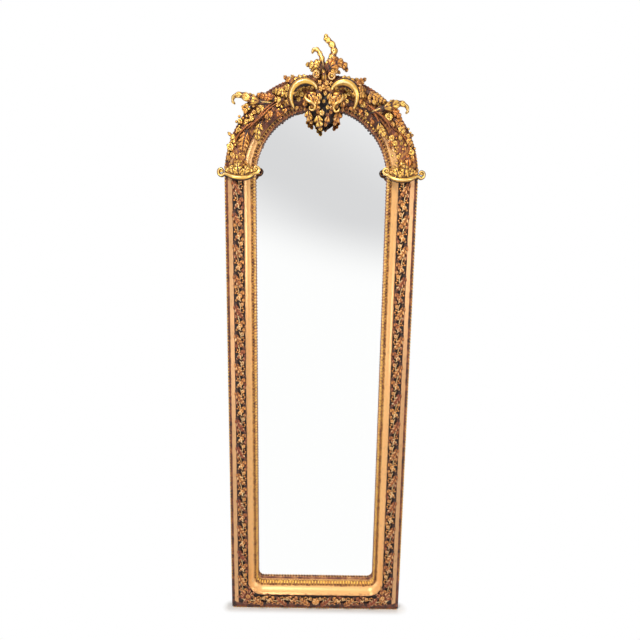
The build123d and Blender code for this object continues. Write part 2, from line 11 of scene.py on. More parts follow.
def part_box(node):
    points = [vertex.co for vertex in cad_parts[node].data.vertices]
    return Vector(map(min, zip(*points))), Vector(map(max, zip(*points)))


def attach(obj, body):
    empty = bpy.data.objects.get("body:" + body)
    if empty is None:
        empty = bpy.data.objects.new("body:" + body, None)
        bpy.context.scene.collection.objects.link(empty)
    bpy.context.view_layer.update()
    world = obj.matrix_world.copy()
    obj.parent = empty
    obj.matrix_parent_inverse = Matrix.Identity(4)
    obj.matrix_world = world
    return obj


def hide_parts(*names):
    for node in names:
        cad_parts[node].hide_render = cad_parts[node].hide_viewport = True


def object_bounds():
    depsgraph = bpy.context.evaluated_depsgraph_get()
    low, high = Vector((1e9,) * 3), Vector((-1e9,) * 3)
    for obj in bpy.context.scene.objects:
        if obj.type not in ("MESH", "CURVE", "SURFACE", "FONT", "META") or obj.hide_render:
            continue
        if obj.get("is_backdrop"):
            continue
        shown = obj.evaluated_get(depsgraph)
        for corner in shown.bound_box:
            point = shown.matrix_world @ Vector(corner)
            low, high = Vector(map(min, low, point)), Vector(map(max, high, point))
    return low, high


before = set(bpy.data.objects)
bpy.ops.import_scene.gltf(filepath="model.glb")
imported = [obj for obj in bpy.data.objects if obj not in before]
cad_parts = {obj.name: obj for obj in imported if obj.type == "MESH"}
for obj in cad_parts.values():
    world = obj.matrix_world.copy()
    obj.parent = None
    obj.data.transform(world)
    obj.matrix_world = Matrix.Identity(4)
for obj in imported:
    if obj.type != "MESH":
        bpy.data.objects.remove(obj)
size_at_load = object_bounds()

# The opening, read off the frame. The glass front is the zero of every height f, and w runs
# outwards from the sight edge, both in millimetres like all sizes below.
MM = 0.001
GLASS_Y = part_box("mirror_glass")[0].y
SIGHT_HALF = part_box("stile_right")[0].x / MM
SPRING_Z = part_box("stile_right")[1].z / MM
SIGHT_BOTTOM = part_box("bottom_rail")[1].z / MM
MOULD_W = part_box("stile_right")[1].x / MM - SIGHT_HALF
SIDES = (("left", -1), ("right", 1))
FRONT = Vector((0, -1, 0))


def at(x, z, f):
    """Point at x and z on the elevation, f in front of the glass."""
    return Vector((x * MM, GLASS_Y - f * MM, z * MM))


def polar(side, degrees, w, f):
    """Point on the arch: degrees up from its springing, w outwards from the sight edge."""
    turn = math.radians(degrees)
    radius = SIGHT_HALF + w
    return at(side * radius * math.cos(turn), SPRING_Z + radius * math.sin(turn), f)


# The studio: a white floor that runs out into a white surround, one large soft lamp high in
# front and three weaker ones. The camera stands at hand height, tilted down and a little askew.
CAMERA_BACK = 2.04
CAMERA_X = 0.003
CAMERA_Z = 1.588
CAMERA_DOWN = 10.9
CAMERA_ROLL = 0.84
FOCAL_SHARE = 550 / 640
SENSOR = 36.0

camera = bpy.data.objects.new("camera", bpy.data.cameras.new("camera"))
bpy.context.scene.collection.objects.link(camera)
camera.data.sensor_width = SENSOR
camera.data.lens = SENSOR * FOCAL_SHARE
camera.matrix_world = (
    Matrix.Translation((CAMERA_X, GLASS_Y - CAMERA_BACK, CAMERA_Z))
    @ Matrix.Rotation(math.radians(90 - CAMERA_DOWN), 4, "X")
    @ Matrix.Rotation(math.radians(CAMERA_ROLL), 4, "Z")
)
bpy.context.scene.camera = camera
bpy.context.scene.view_settings.view_transform = "Standard"


def soft_lamp(name, place, aim_z, size, watts, colour):
    """Square area lamp, aimed at a height on the middle line of the mirror."""
    lamp = bpy.data.objects.new(name, bpy.data.lights.new(name, "AREA"))
    lamp.data.size = size
    lamp.data.energy = watts
    lamp.data.color = colour
    lamp.location = place
    aim = Vector((0, 0, aim_z)) - Vector(place)
    lamp.rotation_euler = aim.to_track_quat("-Z", "Y").to_euler()
    bpy.context.scene.collection.objects.link(lamp)


soft_lamp("key_lamp", (-0.9, -1.9, 3.7), 1.4, 0.9, 78, (1.0, 0.97, 0.92))
soft_lamp("side_lamp", (2.3, -1.6, 1.3), 1.0, 1.0, 30, (1.0, 0.96, 0.90))
soft_lamp("low_lamp", (-1.9, -1.5, 0.7), 0.4, 0.9, 16, (1.0, 0.99, 0.97))
soft_lamp("back_lamp", (0.9, 2.6, 2.3), 1.0, 1.2, 42, (1.0, 0.98, 0.95))

NODE_SETTINGS = ("operation", "data_type", "attribute_name", "interpolation_type")
WHITE = (1.0, 1.0, 1.0)
GREY = (0.70, 0.70, 0.71)
PALE_GREY = (0.86, 0.86, 0.87)
DIM_WALL = (0.10, 0.09, 0.08)
CEILING = (0.95, 0.93, 0.90)
AMBIENT = 0.22
FADE_SLANT = 0.55
FLOOR_R = 9.0
FOOT_HALF = 0.34
SHADOW_REACH = (0.01, 0.045)


def fill(tree, made, **values):
    """Sets a node's inputs. An output socket is linked, and anything else is the input's value."""
    for name, value in values.items():
        socket = made.inputs[int(name[1:]) if name[0] == "_" else name.replace("_", " ")]
        if isinstance(value, bpy.types.NodeSocket):
            tree.links.new(value, socket)
        elif socket.type == "RGBA" and len(value) == 3:
            socket.default_value = (*value, 1.0)
        else:
            socket.default_value = value
    return made


def node(tree, kind, **values):
    """New shader node with some of its settings and inputs."""
    made = tree.nodes.new(kind)
    for name in NODE_SETTINGS:
        if name in values:
            setattr(made, name, values.pop(name))
    return fill(tree, made, **values)


def maths(tree, operation, first, second=0.0, third=0.0):
    """Output of a Math node on values or sockets."""
    return node(tree, "ShaderNodeMath", operation=operation, _0=first, _1=second, _2=third).outputs[0]


def blended(tree, factor, first, second):
    """Output of a colour Mix node."""
    return node(tree, "ShaderNodeMix", data_type="RGBA", _0=factor, _6=first, _7=second).outputs[2]


def step_between(tree, value, low, high, to_low=0.0, to_high=1.0):
    """Output of a smooth step of value from low to high."""
    made = node(tree, "ShaderNodeMapRange", interpolation_type="SMOOTHSTEP", Value=value,
                From_Min=low, From_Max=high, To_Min=to_low, To_Max=to_high)
    return made.outputs["Result"]


def hypotenuse(tree, first, second):
    squares = [maths(tree, "MULTIPLY", side, side) for side in (first, second)]
    return maths(tree, "SQRT", maths(tree, "ADD", *squares))


def coordinates(tree, kind="Object"):
    return node(tree, "ShaderNodeTexCoord").outputs[kind]


def axes(tree, vector):
    """The X, Y and Z outputs of a vector."""
    return node(tree, "ShaderNodeSeparateXYZ", Vector=vector).outputs


def noise(tree, place, scale, detail):
    return node(tree, "ShaderNodeTexNoise", Vector=place, Scale=scale, Detail=detail).outputs[0]


def eye_rays(tree):
    """1 on glossy rays, and 1 on every ray that shows a surface to the camera."""
    path = node(tree, "ShaderNodeLightPath").outputs
    seen = maths(tree, "MAXIMUM", path["Is Camera Ray"], path["Is Glossy Ray"])
    return path["Is Glossy Ray"], maths(tree, "MAXIMUM", seen, path["Is Transmission Ray"])


def surround():
    """White all round to the eye. The glass sees a pale grey fade in it, the gilding a dim room."""
    world = bpy.data.worlds.new("surround")
    world.use_nodes = True
    bpy.context.scene.world = world
    tree = world.node_tree
    tree.nodes.clear()
    heading = axes(tree, coordinates(tree, "Generated"))
    across = maths(tree, "MULTIPLY_ADD", heading["X"], FADE_SLANT, heading["Z"])
    fade = step_between(tree, across, -0.15, 0.03)
    fade = maths(tree, "MULTIPLY", fade, step_between(tree, heading["Z"], -0.14, 0.0))
    grey = blended(tree, fade, WHITE, GREY)
    grey = blended(tree, step_between(tree, across, 0.06, 0.26), grey, PALE_GREY)
    room = blended(tree, step_between(tree, heading["Z"], -0.02, 0.30), WHITE, DIM_WALL)
    room = blended(tree, step_between(tree, heading["Z"], 0.25, 0.8), room, CEILING)
    ahead = maths(tree, "MULTIPLY", heading["Y"], -1.0)
    room = blended(tree, step_between(tree, ahead, 0.62, 0.78), room, grey)
    mirrored, seen = eye_rays(tree)
    glow = node(tree, "ShaderNodeBackground", Color=blended(tree, mirrored, WHITE, room),
                Strength=step_between(tree, seen, 0.0, 1.0, AMBIENT, 1.0))
    node(tree, "ShaderNodeOutputWorld", Surface=glow.outputs[0])


def new_material(name):
    """Material with a Principled shader; returns the material, its tree and the shader."""
    made = bpy.data.materials.new(name)
    made.use_nodes = True
    tree = made.node_tree
    return made, tree, tree.nodes["Principled BSDF"]


def white_floor():
    """Floor that takes the object's shadow and is plain white to the camera away from it."""
    work = bmesh.new()
    bmesh.ops.create_circle(work, cap_ends=True, radius=FLOOR_R, segments=64)
    mesh = bpy.data.meshes.new("floor")
    work.to_mesh(mesh)
    work.free()
    floor = bpy.data.objects.new("floor", mesh)
    bpy.context.scene.collection.objects.link(floor)
    material, tree, shader = new_material("floor_white")
    fill(tree, shader, Base_Color=(0.9, 0.9, 0.9), Roughness=0.9)
    part = axes(tree, coordinates(tree))
    off_x = maths(tree, "MAXIMUM", maths(tree, "ABSOLUTE", part["X"]), FOOT_HALF)
    off_x = maths(tree, "SUBTRACT", off_x, FOOT_HALF)
    away = step_between(tree, hypotenuse(tree, off_x, part["Y"]), *SHADOW_REACH)
    _, seen = eye_rays(tree)
    glow = node(tree, "ShaderNodeEmission", Color=WHITE, Strength=1.0)
    mix = node(tree, "ShaderNodeMixShader", Fac=maths(tree, "MULTIPLY", seen, away),
               _1=shader.outputs[0], _2=glow.outputs[0])
    fill(tree, tree.nodes["Material Output"], Surface=mix.outputs[0])
    mesh.materials.append(material)
    floor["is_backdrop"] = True


surround()
white_floor()

# The carcass: stiles, rail, corner fillets and arch in pine, gessoed and gilt. The bands were
# burnished to a peach gold, with painted highlights, and a brown glaze was left in every quirk,
# deepened there to painted shade. The sides are painted brown and the back is bare wood. Its
# shapes are the frame's own.
GOLD = (0.80, 0.43, 0.10)
PALE_GOLD = (0.84, 0.50, 0.10)
BAND_GOLD = (0.88, 0.50, 0.19)
OUTER_GOLD = (0.58, 0.32, 0.14)
HIGHLIGHT = (1.0, 0.83, 0.45)
PEACH = (0.86, 0.42, 0.16)
ORANGE = (0.62, 0.21, 0.035)
CLAY = (0.20, 0.05, 0.022)
# Near-black brown glaze, which also stands for painted shade in hollows and quirks.
GLAZE_AND_SHADE = (0.016, 0.007, 0.005)
UMBER = (0.085, 0.036, 0.016)
PINE = {"Light": (0.46, 0.29, 0.15), "Dark": (0.27, 0.15, 0.07)}
CORNER_R = 22.0
INNER_W = 36.0
SIDE_SKIN = 0.15
BACK_DEPTH = 19.8
# Painted shading the gilding gets at each width: highlight high on the bands, shade low in the quirks.
BAND_SHADING = (
    (0.0, 0.30), (1.4, 0.30), (2.2, 0.70), (5.0, 0.60), (15.5, 0.58), (17.0, 0.46), (18.6, 0.74),
    (32.0, 0.74), (35.0, 0.45), (36.5, 0.0), (74.5, 0.0), (76.4, 0.35), (78.5, 0.70), (91.5, 0.66),
    (94.0, 0.25), (103.0, 0.15), (105.4, 0.40), (106.0, 0.10),
)
OUTER_BAND = (0.074, 0.077)
ARCH_FADE = ((SPRING_Z + 70) * MM, (SPRING_Z + 190) * MM, 1.0, 0.32)
FOOT_FADE = (0.034, 0.028, 0.0, 0.68)


def start_group(name, inputs, outputs):
    """Shader node group with named sockets; returns its tree, its inputs and its end node."""
    tree = bpy.data.node_groups.new(name, "ShaderNodeTree")
    for socket, kind, value in inputs:
        made = tree.interface.new_socket(socket, in_out="INPUT", socket_type="NodeSocket" + kind)
        made.default_value = value
    for socket, kind in outputs:
        tree.interface.new_socket(socket, in_out="OUTPUT", socket_type="NodeSocket" + kind)
    entry = tree.nodes.new("NodeGroupInput").outputs
    return tree, entry, tree.nodes.new("NodeGroupOutput")


def placed_group(tree, name, **values):
    """Outputs of a group that is placed in a material with its own values."""
    made = tree.nodes.new("ShaderNodeGroup")
    made.node_tree = bpy.data.node_groups[name]
    return fill(tree, made, **values).outputs


def make_section_group():
    """Distance outwards from the sight edge, round the arch, the stiles and the rail."""
    tree, _, end = start_group("moulding_section", (), (("Width", "Float"), ("Place", "Vector")))
    place = coordinates(tree)
    part = axes(tree, place)
    x = maths(tree, "ABSOLUTE", part["X"])
    half, spring, radius = SIGHT_HALF * MM, SPRING_Z * MM, CORNER_R * MM
    reach = hypotenuse(tree, x, maths(tree, "SUBTRACT", part["Z"], spring))
    arch = maths(tree, "SUBTRACT", reach, half)
    out_x = maths(tree, "SUBTRACT", x, half)
    out_z = maths(tree, "SUBTRACT", SIGHT_BOTTOM * MM, part["Z"])
    near_x = maths(tree, "MAXIMUM", maths(tree, "ADD", out_x, radius), 0.0)
    near_z = maths(tree, "MAXIMUM", maths(tree, "ADD", out_z, radius), 0.0)
    turn = maths(tree, "SUBTRACT", hypotenuse(tree, near_x, near_z), radius)
    inside = maths(tree, "LESS_THAN", turn, (INNER_W + 0.2) * MM)
    square = maths(tree, "MAXIMUM", maths(tree, "MAXIMUM", out_x, out_z), (INNER_W + 1) * MM)
    low = node(tree, "ShaderNodeMix", _0=inside, _2=square, _3=turn).outputs[0]
    above = maths(tree, "GREATER_THAN", part["Z"], spring)
    width = node(tree, "ShaderNodeMix", _0=above, _2=low, _3=arch).outputs[0]
    fill(tree, end, Width=width, Place=place)


def make_gilding_group():
    """Aged leaf: painted highlight on ridges, red clay in worn patches, painted shade in glazed hollows."""
    inputs = (
        ("Leaf", "Color", (*GOLD, 1)), ("Warm", "Color", (*PEACH, 1)), ("Relief", "Float", 1.0),
        ("Tone", "Float", 0.5), ("Rib", "Float", 0.0), ("Wear", "Float", 0.5), ("Metal", "Float", 0.6),
    )
    outputs = (("Color", "Color"), ("Roughness", "Float"), ("Metallic", "Float"), ("Height", "Float"))
    tree, entry, end = start_group("aged_gilding_and_shading", inputs, outputs)
    place = coordinates(tree)
    broad = noise(tree, place, 9.0, 3.0)
    patch = noise(tree, place, 60.0, 6.0)
    grain = noise(tree, place, 420.0, 4.0)
    flutes = maths(tree, "SINE", maths(tree, "MULTIPLY", entry["Rib"], 2 * math.pi))
    mottle = maths(tree, "MULTIPLY", maths(tree, "SUBTRACT", patch, 0.5), 0.8)
    # height is the painted shading level with mottle and flutes: painted shade low, painted highlight high.
    height = maths(tree, "ADD", entry["Relief"], mottle)
    height = maths(tree, "MULTIPLY_ADD", flutes, 0.17, height)
    drift = maths(tree, "MULTIPLY_ADD", broad, 0.7, entry["Tone"])
    gold = blended(tree, step_between(tree, drift, 0.45, 1.25), entry["Leaf"], entry["Warm"])
    rubbed = maths(tree, "MULTIPLY", step_between(tree, patch, 0.54, 0.68), entry["Wear"])
    gold = blended(tree, rubbed, gold, CLAY)
    # Painted shade: the lowest parts go from red clay down to near-black glaze.
    low = blended(tree, step_between(tree, height, 0.06, 0.34), GLAZE_AND_SHADE, CLAY)
    body = step_between(tree, height, 0.26, 0.62)
    # Painted highlight on the highest ridges.
    lit = step_between(tree, height, 0.80, 1.12, 0.0, 0.85)
    dull = step_between(tree, body, 0.0, 1.0, 0.55, 0.30)
    dull = maths(tree, "MULTIPLY_ADD", grain, 0.12, dull)
    rise = maths(tree, "MULTIPLY_ADD", grain, 0.25, patch)
    fill(tree, end, Color=blended(tree, lit, blended(tree, body, low, gold), HIGHLIGHT),
         Roughness=maths(tree, "MULTIPLY_ADD", rubbed, 0.2, dull),
         Metallic=maths(tree, "MULTIPLY", body, entry["Metal"]),
         Height=maths(tree, "MULTIPLY_ADD", flutes, 0.6, rise))


def make_wood_group():
    """Long grain along Z with pores, for bare and unseen wood."""
    inputs = (("Light", "Color", (0.5, 0.3, 0.15, 1)), ("Dark", "Color", (0.3, 0.16, 0.07, 1)))
    outputs = (("Color", "Color"), ("Roughness", "Float"), ("Height", "Float"))
    tree, entry, end = start_group("bare_wood", inputs, outputs)
    along = node(tree, "ShaderNodeMapping", Vector=coordinates(tree), Scale=(1.0, 1.0, 0.06)).outputs[0]
    figure = node(tree, "ShaderNodeTexNoise", Vector=along, Scale=26.0, Detail=4.0, Distortion=1.2)
    pores = noise(tree, along, 380.0, 3.0)
    figure = step_between(tree, figure.outputs[0], 0.35, 0.68)
    colour = blended(tree, figure, entry["Light"], entry["Dark"])
    dots = step_between(tree, pores, 0.58, 0.72, 0.0, 0.5)
    fill(tree, end, Color=blended(tree, dots, colour, entry["Dark"]), Height=pores,
         Roughness=maths(tree, "MULTIPLY_ADD", pores, 0.3, 0.5))


def bumped(tree, shader, height, strength, distance):
    """Bump from a height, on the shader's normal."""
    made = node(tree, "ShaderNodeBump", Strength=strength, Distance=distance, Height=height)
    fill(tree, shader, Normal=made.outputs[0])


def carcass_gilding():
    material, tree, shader = new_material("carcass_gilding")
    section = placed_group(tree, "moulding_section")
    ramp = node(tree, "ShaderNodeValToRGB", _0=maths(tree, "DIVIDE", section["Width"], MOULD_W * MM))
    band = ramp.color_ramp
    while len(band.elements) < len(BAND_SHADING):
        band.elements.new(0.5)
    for element, (width, value) in zip(band.elements, BAND_SHADING):
        element.position = width / MOULD_W
        element.color = (value, value, value, 1)
    part = axes(tree, section["Place"])
    outer = step_between(tree, section["Width"], *OUTER_BAND)
    foot = maths(tree, "MULTIPLY", step_between(tree, part["Z"], *FOOT_FADE), outer)
    relief = maths(tree, "MULTIPLY", ramp.outputs[0], step_between(tree, part["Z"], *ARCH_FADE))
    relief = maths(tree, "MULTIPLY", relief, maths(tree, "SUBTRACT", 1.0, foot))
    gilt = placed_group(tree, "aged_gilding_and_shading", Leaf=blended(tree, outer, BAND_GOLD, OUTER_GOLD), Warm=PEACH,
                        Relief=relief, Tone=0.3, Wear=0.2, Metal=0.30)
    grain = placed_group(tree, "bare_wood", **PINE)
    side = maths(tree, "GREATER_THAN", section["Width"], (MOULD_W - SIDE_SKIN) * MM)
    back = maths(tree, "GREATER_THAN", part["Y"], GLASS_Y + BACK_DEPTH * MM)
    colour = blended(tree, back, blended(tree, side, gilt["Color"], UMBER), grain["Color"])
    plain = maths(tree, "SUBTRACT", 1.0, maths(tree, "MAXIMUM", side, back))
    rough = node(tree, "ShaderNodeMix", _0=plain, _2=0.6, _3=gilt["Roughness"]).outputs[0]
    metal = maths(tree, "MULTIPLY", gilt["Metallic"], plain)
    fill(tree, shader, Base_Color=colour, Roughness=rough, Metallic=metal)
    bumped(tree, shader, gilt["Height"], 0.25, 0.0006)
    return material


def dress(node_names, material):
    """Gives CAD nodes a material in place of their own."""
    for name in node_names:
        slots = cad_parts[name].data.materials
        slots.clear()
        slots.append(material)


make_section_group()
make_gilding_group()
make_wood_group()
CARCASS = carcass_gilding()
dress(["stile_left", "stile_right", "bottom_rail", "corner_fillet_left", "corner_fillet_right"], CARCASS)
dress([f"arch_segment_{name}_{level}" for name, _ in SIDES for level in ("low", "high")], CARCASS)

# Glass and everything behind it: float glass silvered on the back, softwood fillets, rubber pads,
# a plywood back with its screws, beech dowels and tenon, and the zinc-plated hangers. All of
# them keep the frame's own shapes.
SILVER = (0.985, 0.992, 0.988)
EDGE_GREEN = (0.10, 0.22, 0.17)
SILVER_BACK = (0.16, 0.13, 0.12)
ROUND_PARTS = ("left", "right", "foot", "arch")


def silvered_glass():
    material, tree, shader = new_material("silvered_glass")
    facing = axes(tree, coordinates(tree, "Normal"))
    front = maths(tree, "LESS_THAN", facing["Y"], -0.5)
    back = maths(tree, "GREATER_THAN", facing["Y"], 0.5)
    foxing = step_between(tree, noise(tree, coordinates(tree), 900.0, 2.0), 0.74, 0.80, 0.0, 0.05)
    colour = blended(tree, front, blended(tree, back, EDGE_GREEN, SILVER_BACK), SILVER)
    fill(tree, shader, Base_Color=blended(tree, foxing, colour, UMBER), Metallic=front,
         Roughness=step_between(tree, front, 0.0, 1.0, 0.35, 0.015))
    return material


def wooden(name, light, dark):
    material, tree, shader = new_material(name)
    wood = placed_group(tree, "bare_wood", Light=light, Dark=dark)
    fill(tree, shader, Base_Color=wood["Color"], Roughness=wood["Roughness"])
    bumped(tree, shader, wood["Height"], 0.15, 0.0004)
    return material


def plated_steel():
    material, tree, shader = new_material("plated_steel")
    place = coordinates(tree)
    cloud = noise(tree, place, 160.0, 4.0)
    colour = blended(tree, step_between(tree, cloud, 0.35, 0.65), (0.62, 0.61, 0.56), (0.44, 0.44, 0.43))
    rough = step_between(tree, cloud, 0.3, 0.7, 0.26, 0.46)
    fill(tree, shader, Base_Color=colour, Roughness=rough, Metallic=0.95)
    bumped(tree, shader, noise(tree, place, 900.0, 2.0), 0.1, 0.0001)
    return material


def black_rubber():
    material, tree, shader = new_material("black_rubber")
    dust = step_between(tree, noise(tree, coordinates(tree), 300.0, 3.0), 0.4, 0.7)
    colour = blended(tree, dust, (0.02, 0.02, 0.02), (0.06, 0.055, 0.05))
    fill(tree, shader, Base_Color=colour, Roughness=0.85)
    return material


HANGERS = [f"hanger_{part}_{name}" for part in ("strap", "ring") for name, _ in SIDES]
FILLETS = [f"retaining_fillet_{part}" for part in ROUND_PARTS]
dress(["mirror_glass"], silvered_glass())
dress(["back_board"], wooden("plywood", (0.62, 0.44, 0.26), (0.44, 0.28, 0.14)))
dress(FILLETS, wooden("softwood", (0.66, 0.47, 0.28), (0.48, 0.30, 0.15)))
dress(["arch_dowels", "crest_tenon"], wooden("beech", (0.55, 0.34, 0.18), (0.42, 0.24, 0.12)))
dress(["setting_pads"], black_rubber())
dress(HANGERS + ["hanger_screws", "back_board_screws"], plated_steel())

# Bead courses, pressed in composition and bedded on the frame: lamb's tongues round the sight
# edge, each with its tip towards the cove, and a row of slanting grains round the outer edge.
# The half-round strips under them are the frame's own.
SIGHT_PITCH = 11.5
OUTER_PITCH = 12.0
TONGUE = (12.0, 5.2, 4.8)
GRAIN = (5.6, 3.2, 3.6)
BEAD_DEPTH = 0.0004
BUMP_DEPTH = 0.0005
DIM_RISE = 150.0
POINT_VALUES = ("relief", "tone", "rib")
SIGHT_SEAT = ((4.0, 9.0), (16.0, 28.0), 6.0)
OUTER_SEAT = ((94.5, 49.5), (105.0, 41.0), 4.5)


def start_work():
    """Empty mesh work with the three values that the gilding reads at each point."""
    work = bmesh.new()
    for name in POINT_VALUES:
        work.verts.layers.float.new(name)
    return work


def mark(work, verts, tone, relief):
    """Stores a tone and a painted shading level, a number or a function of the vertex, on vertices."""
    depth = work.verts.layers.float["relief"]
    hue = work.verts.layers.float["tone"]
    for vert in verts:
        vert[depth] = relief(vert) if callable(relief) else relief
        vert[hue] = tone


def pour(work, part):
    """Adds a part to the work and clears the part away."""
    carrier = bpy.data.meshes.new("carrier")
    part.to_mesh(carrier)
    part.free()
    work.from_mesh(carrier)
    bpy.data.meshes.remove(carrier)


def finish_piece(work, name, material, slot, *nodes):
    """Closes the mesh work into an object that rides on the frame and stands for its nodes."""
    bmesh.ops.recalc_face_normals(work, faces=work.faces)
    for face in work.faces:
        face.smooth = True
    mesh = bpy.data.meshes.new(name)
    work.to_mesh(mesh)
    work.free()
    mesh.materials.append(material)
    piece = bpy.data.objects.new(name, mesh)
    bpy.context.scene.collection.objects.link(piece)
    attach(piece, "frame")
    if nodes:
        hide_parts(*nodes)
    return piece


def lay_gilding(tree, shader, bump, depth, **values):
    """Aged gilding, with painted shade and highlights and its own values, on a whole material."""
    gilt = placed_group(tree, "aged_gilding_and_shading", **values)
    fill(tree, shader, Base_Color=gilt["Color"], Roughness=gilt["Roughness"], Metallic=gilt["Metallic"])
    bumped(tree, shader, gilt["Height"], bump, depth)


def gilt_material(name, leaf_colour, warm, wear, metal, bump, shading_scale, shading_shift):
    """Gilding that reads its painted shading level, tone and ribs off the mesh."""
    material, tree, shader = new_material(name)
    depth, hue, ribs = (
        node(tree, "ShaderNodeAttribute", attribute_name=key).outputs["Fac"] for key in POINT_VALUES
    )
    # depth is the painted shading level: low gives painted shade over the glaze, high a painted highlight.
    depth = maths(tree, "MULTIPLY_ADD", depth, shading_scale, shading_shift)
    lay_gilding(tree, shader, bump, BUMP_DEPTH, Leaf=leaf_colour, Warm=warm, Relief=depth, Tone=hue,
                Rib=ribs, Wear=wear, Metal=metal)
    return material


def course_frames(w, f, pitch):
    """Places up both stiles and round the arch: point, direction along, direction outwards."""
    found = []
    count = round((SPRING_Z - SIGHT_BOTTOM - CORNER_R) / pitch)
    for _, side in SIDES:
        for k in range(count):
            z = SPRING_Z - (k + 0.5) * pitch
            place = at(side * (SIGHT_HALF + w), z, f)
            found.append((place, Vector((0, 0, 1)), Vector((side, 0, 0))))
    count = round(math.pi * (SIGHT_HALF + w) / pitch)
    for k in range(count):
        turn = math.pi * (k + 0.5) / count
        out = Vector((math.cos(turn), 0, math.sin(turn)))
        found.append((polar(1, math.degrees(turn), w, f), Vector((-out.z, 0, out.x)), out))
    return found


def foot_frames(w, f, pitch, corner):
    """The same along the rail, and round the two corners where corner is a radius."""
    half = SIGHT_HALF - corner if corner else SIGHT_HALF + w
    count = round(2 * half / pitch)
    found = []
    for k in range(count):
        x = -half + 2 * half * (k + 0.5) / count
        found.append((at(x, SIGHT_BOTTOM - w, f), Vector((1, 0, 0)), Vector((0, 0, -1))))
    steps = round(math.pi / 2 * (corner + w) / pitch) if corner else 0
    for _, side in SIDES:
        for k in range(steps):
            turn = math.pi / 2 * (k + 0.5) / steps
            out = Vector((side * math.cos(turn), 0, -math.sin(turn)))
            centre = at(side * half, SIGHT_BOTTOM + corner, f)
            found.append((centre + out * (corner + w) * MM, Vector((-out.z, 0, out.x)), out))
    return found


def bead_drop(work, spot, seat, sizes, slant, tone, shade):
    """One egg-shaped drop on the seat: long way across the course, turned by slant."""
    place, ahead, out = spot
    (w0, f0), (w1, f1), _ = seat
    across = (out * (w1 - w0) + FRONT * (f1 - f0)).normalized()
    lift = ahead.cross(across).normalized()
    lift *= math.copysign(1, lift.dot(FRONT))
    lean = Matrix.Rotation(math.radians(slant), 3, lift)
    spans = (lean @ across * sizes[0], lean @ ahead * sizes[1], lift * sizes[2])
    turn = Matrix([span * MM for span in spans]).transposed().to_4x4()
    part = start_work()
    made = bmesh.ops.create_uvsphere(
        part, u_segments=8, v_segments=6, radius=1, matrix=Matrix.Translation(place) @ turn
    )["verts"]

    # Painted highlight on the front of the drop, painted shade round its back, times shade.
    def relief(vert):
        return shade * (0.15 + 0.85 * max(0.0, (vert.co - place).normalized().dot(lift)))

    mark(part, made, tone, relief)
    pour(work, part)


def bead_course(name, seat, pitch, sizes, slant, lift_by, corner):
    """Whole course of drops over the middle of its seat."""
    (w0, f0), (w1, f1), bulge = seat
    length = math.hypot(w1 - w0, f1 - f0)
    sense = math.copysign(1, w1 - w0)
    w = (w0 + w1) / 2 - (f1 - f0) / length * sense * bulge * lift_by
    f = (f0 + f1) / 2 + (w1 - w0) / length * sense * bulge * lift_by
    chance = random.Random(11)
    work = start_work()
    for spot in course_frames(w, f, pitch) + foot_frames(w, f, pitch, corner):
        dim = min(1.0, max(0.0, (spot[0].z / MM - SPRING_Z) / DIM_RISE))
        tone = chance.uniform(0.0, 0.4) + 0.6 * dim
        bead_drop(work, spot, seat, sizes, slant, tone, 1 - 0.42 * dim)
    finish_piece(work, name, BEAD_GILDING, "gilded_bead")


def strip_gilding(name, relief):
    material, tree, shader = new_material(name)
    lay_gilding(tree, shader, 0.2, BEAD_DEPTH, Leaf=GOLD, Warm=ORANGE, Relief=relief, Tone=0.3,
                Wear=0.4, Metal=0.4)
    return material


BEAD_GILDING = gilt_material("bead_gilding", PALE_GOLD, ORANGE, 0.4, 0.5, 0.3, 0.8, 0.0)
bead_course("sight_bead_tongues", SIGHT_SEAT, SIGHT_PITCH, TONGUE, 0, 0.75, CORNER_R)
bead_course("outer_bead_grains", OUTER_SEAT, OUTER_PITCH, GRAIN, 38, 0.8, 0)
dress([f"sight_bead_{part}" for part in ROUND_PARTS], strip_gilding("sight_strip_gilding", 0.46))
dress([f"outer_bead_{part}" for part in ROUND_PARTS], strip_gilding("outer_strip_gilding", 0.22))

# Running foliage of the stiles, cast in lengths: a ribbed leaf that sweeps inwards, a smaller
# one that sweeps back, side sprigs, berries and a floret, repeated down the length. The hollow
# ground between them is the frame's own seat under dark glaze, deepened to painted shade.
REPEAT = 110.0
STILE_REPEATS = 15
STILE_START = 10.0
STRIP_MID = 55.5
SEAT_F = 58.0
SEAT_SLOPE = -0.104
LEAF_WALL = 2.4
FLUTE_RISE = 0.24
RIB_GROOVE = 0.20
RIDGE_DEPTH = 0.14
WELD = 0.02
PLAIN_LEAF = (0.30, 0.80, 1.0, 0.85, 0.55, 0.06)
BLADE_LEAF = (0.45, 0.9, 1.0, 0.75, 0.4, 0.05)
# One repeat, as points along, outwards and up: leaves with half width, lobes and range of tones,
# stems with radii, berries with radius, and a floret.
UNIT_LEAVES = (
    (((-6, 14, 1), (8, 15, 4), (26, 8, 5), (44, -4, 5), (58, -16, 1)), 12.5, 6, (0.3, 0.9)),
    (((50, -14, 1), (63, -14, 4), (78, -5, 5), (92, 7, 4), (103, 16, 1)), 9.5, 5, (0.1, 0.8)),
    (((30, 16, 0), (42, 17, 3), (54, 12, 4), (64, 15, 1)), 5.5, 3, (0.2, 0.9)),
    (((78, -15, 0), (90, -17, 3), (102, -12, 4), (112, -15, 1)), 5.5, 3, (0.2, 0.9)),
)
UNIT_STEMS = (
    (
        ((104, -6, 2), (98, -1, 6), (89, -2, 7), (84, 4, 6), (90, 8, 4), (95, 4, 5)),
        (1.6, 2.6, 2.6, 2.2, 2.0, 2.4),
    ),
    (((-8, 4, 3), (20, -4, 4), (46, 6, 3), (70, 2, 4), (102, 5, 3)), (1.4, 1.8, 1.8, 1.8, 1.4)),
)
UNIT_BERRIES = ((66, 9, 4.4), (73, 14, 4.0), (74, 6, 3.8), (18, -11, 4.2), (26, -15, 3.8), (33, -12, 3.4))
UNIT_FLORET = (4, -8, 4)
FLORET_R = 8.0
BERRY_H = 5


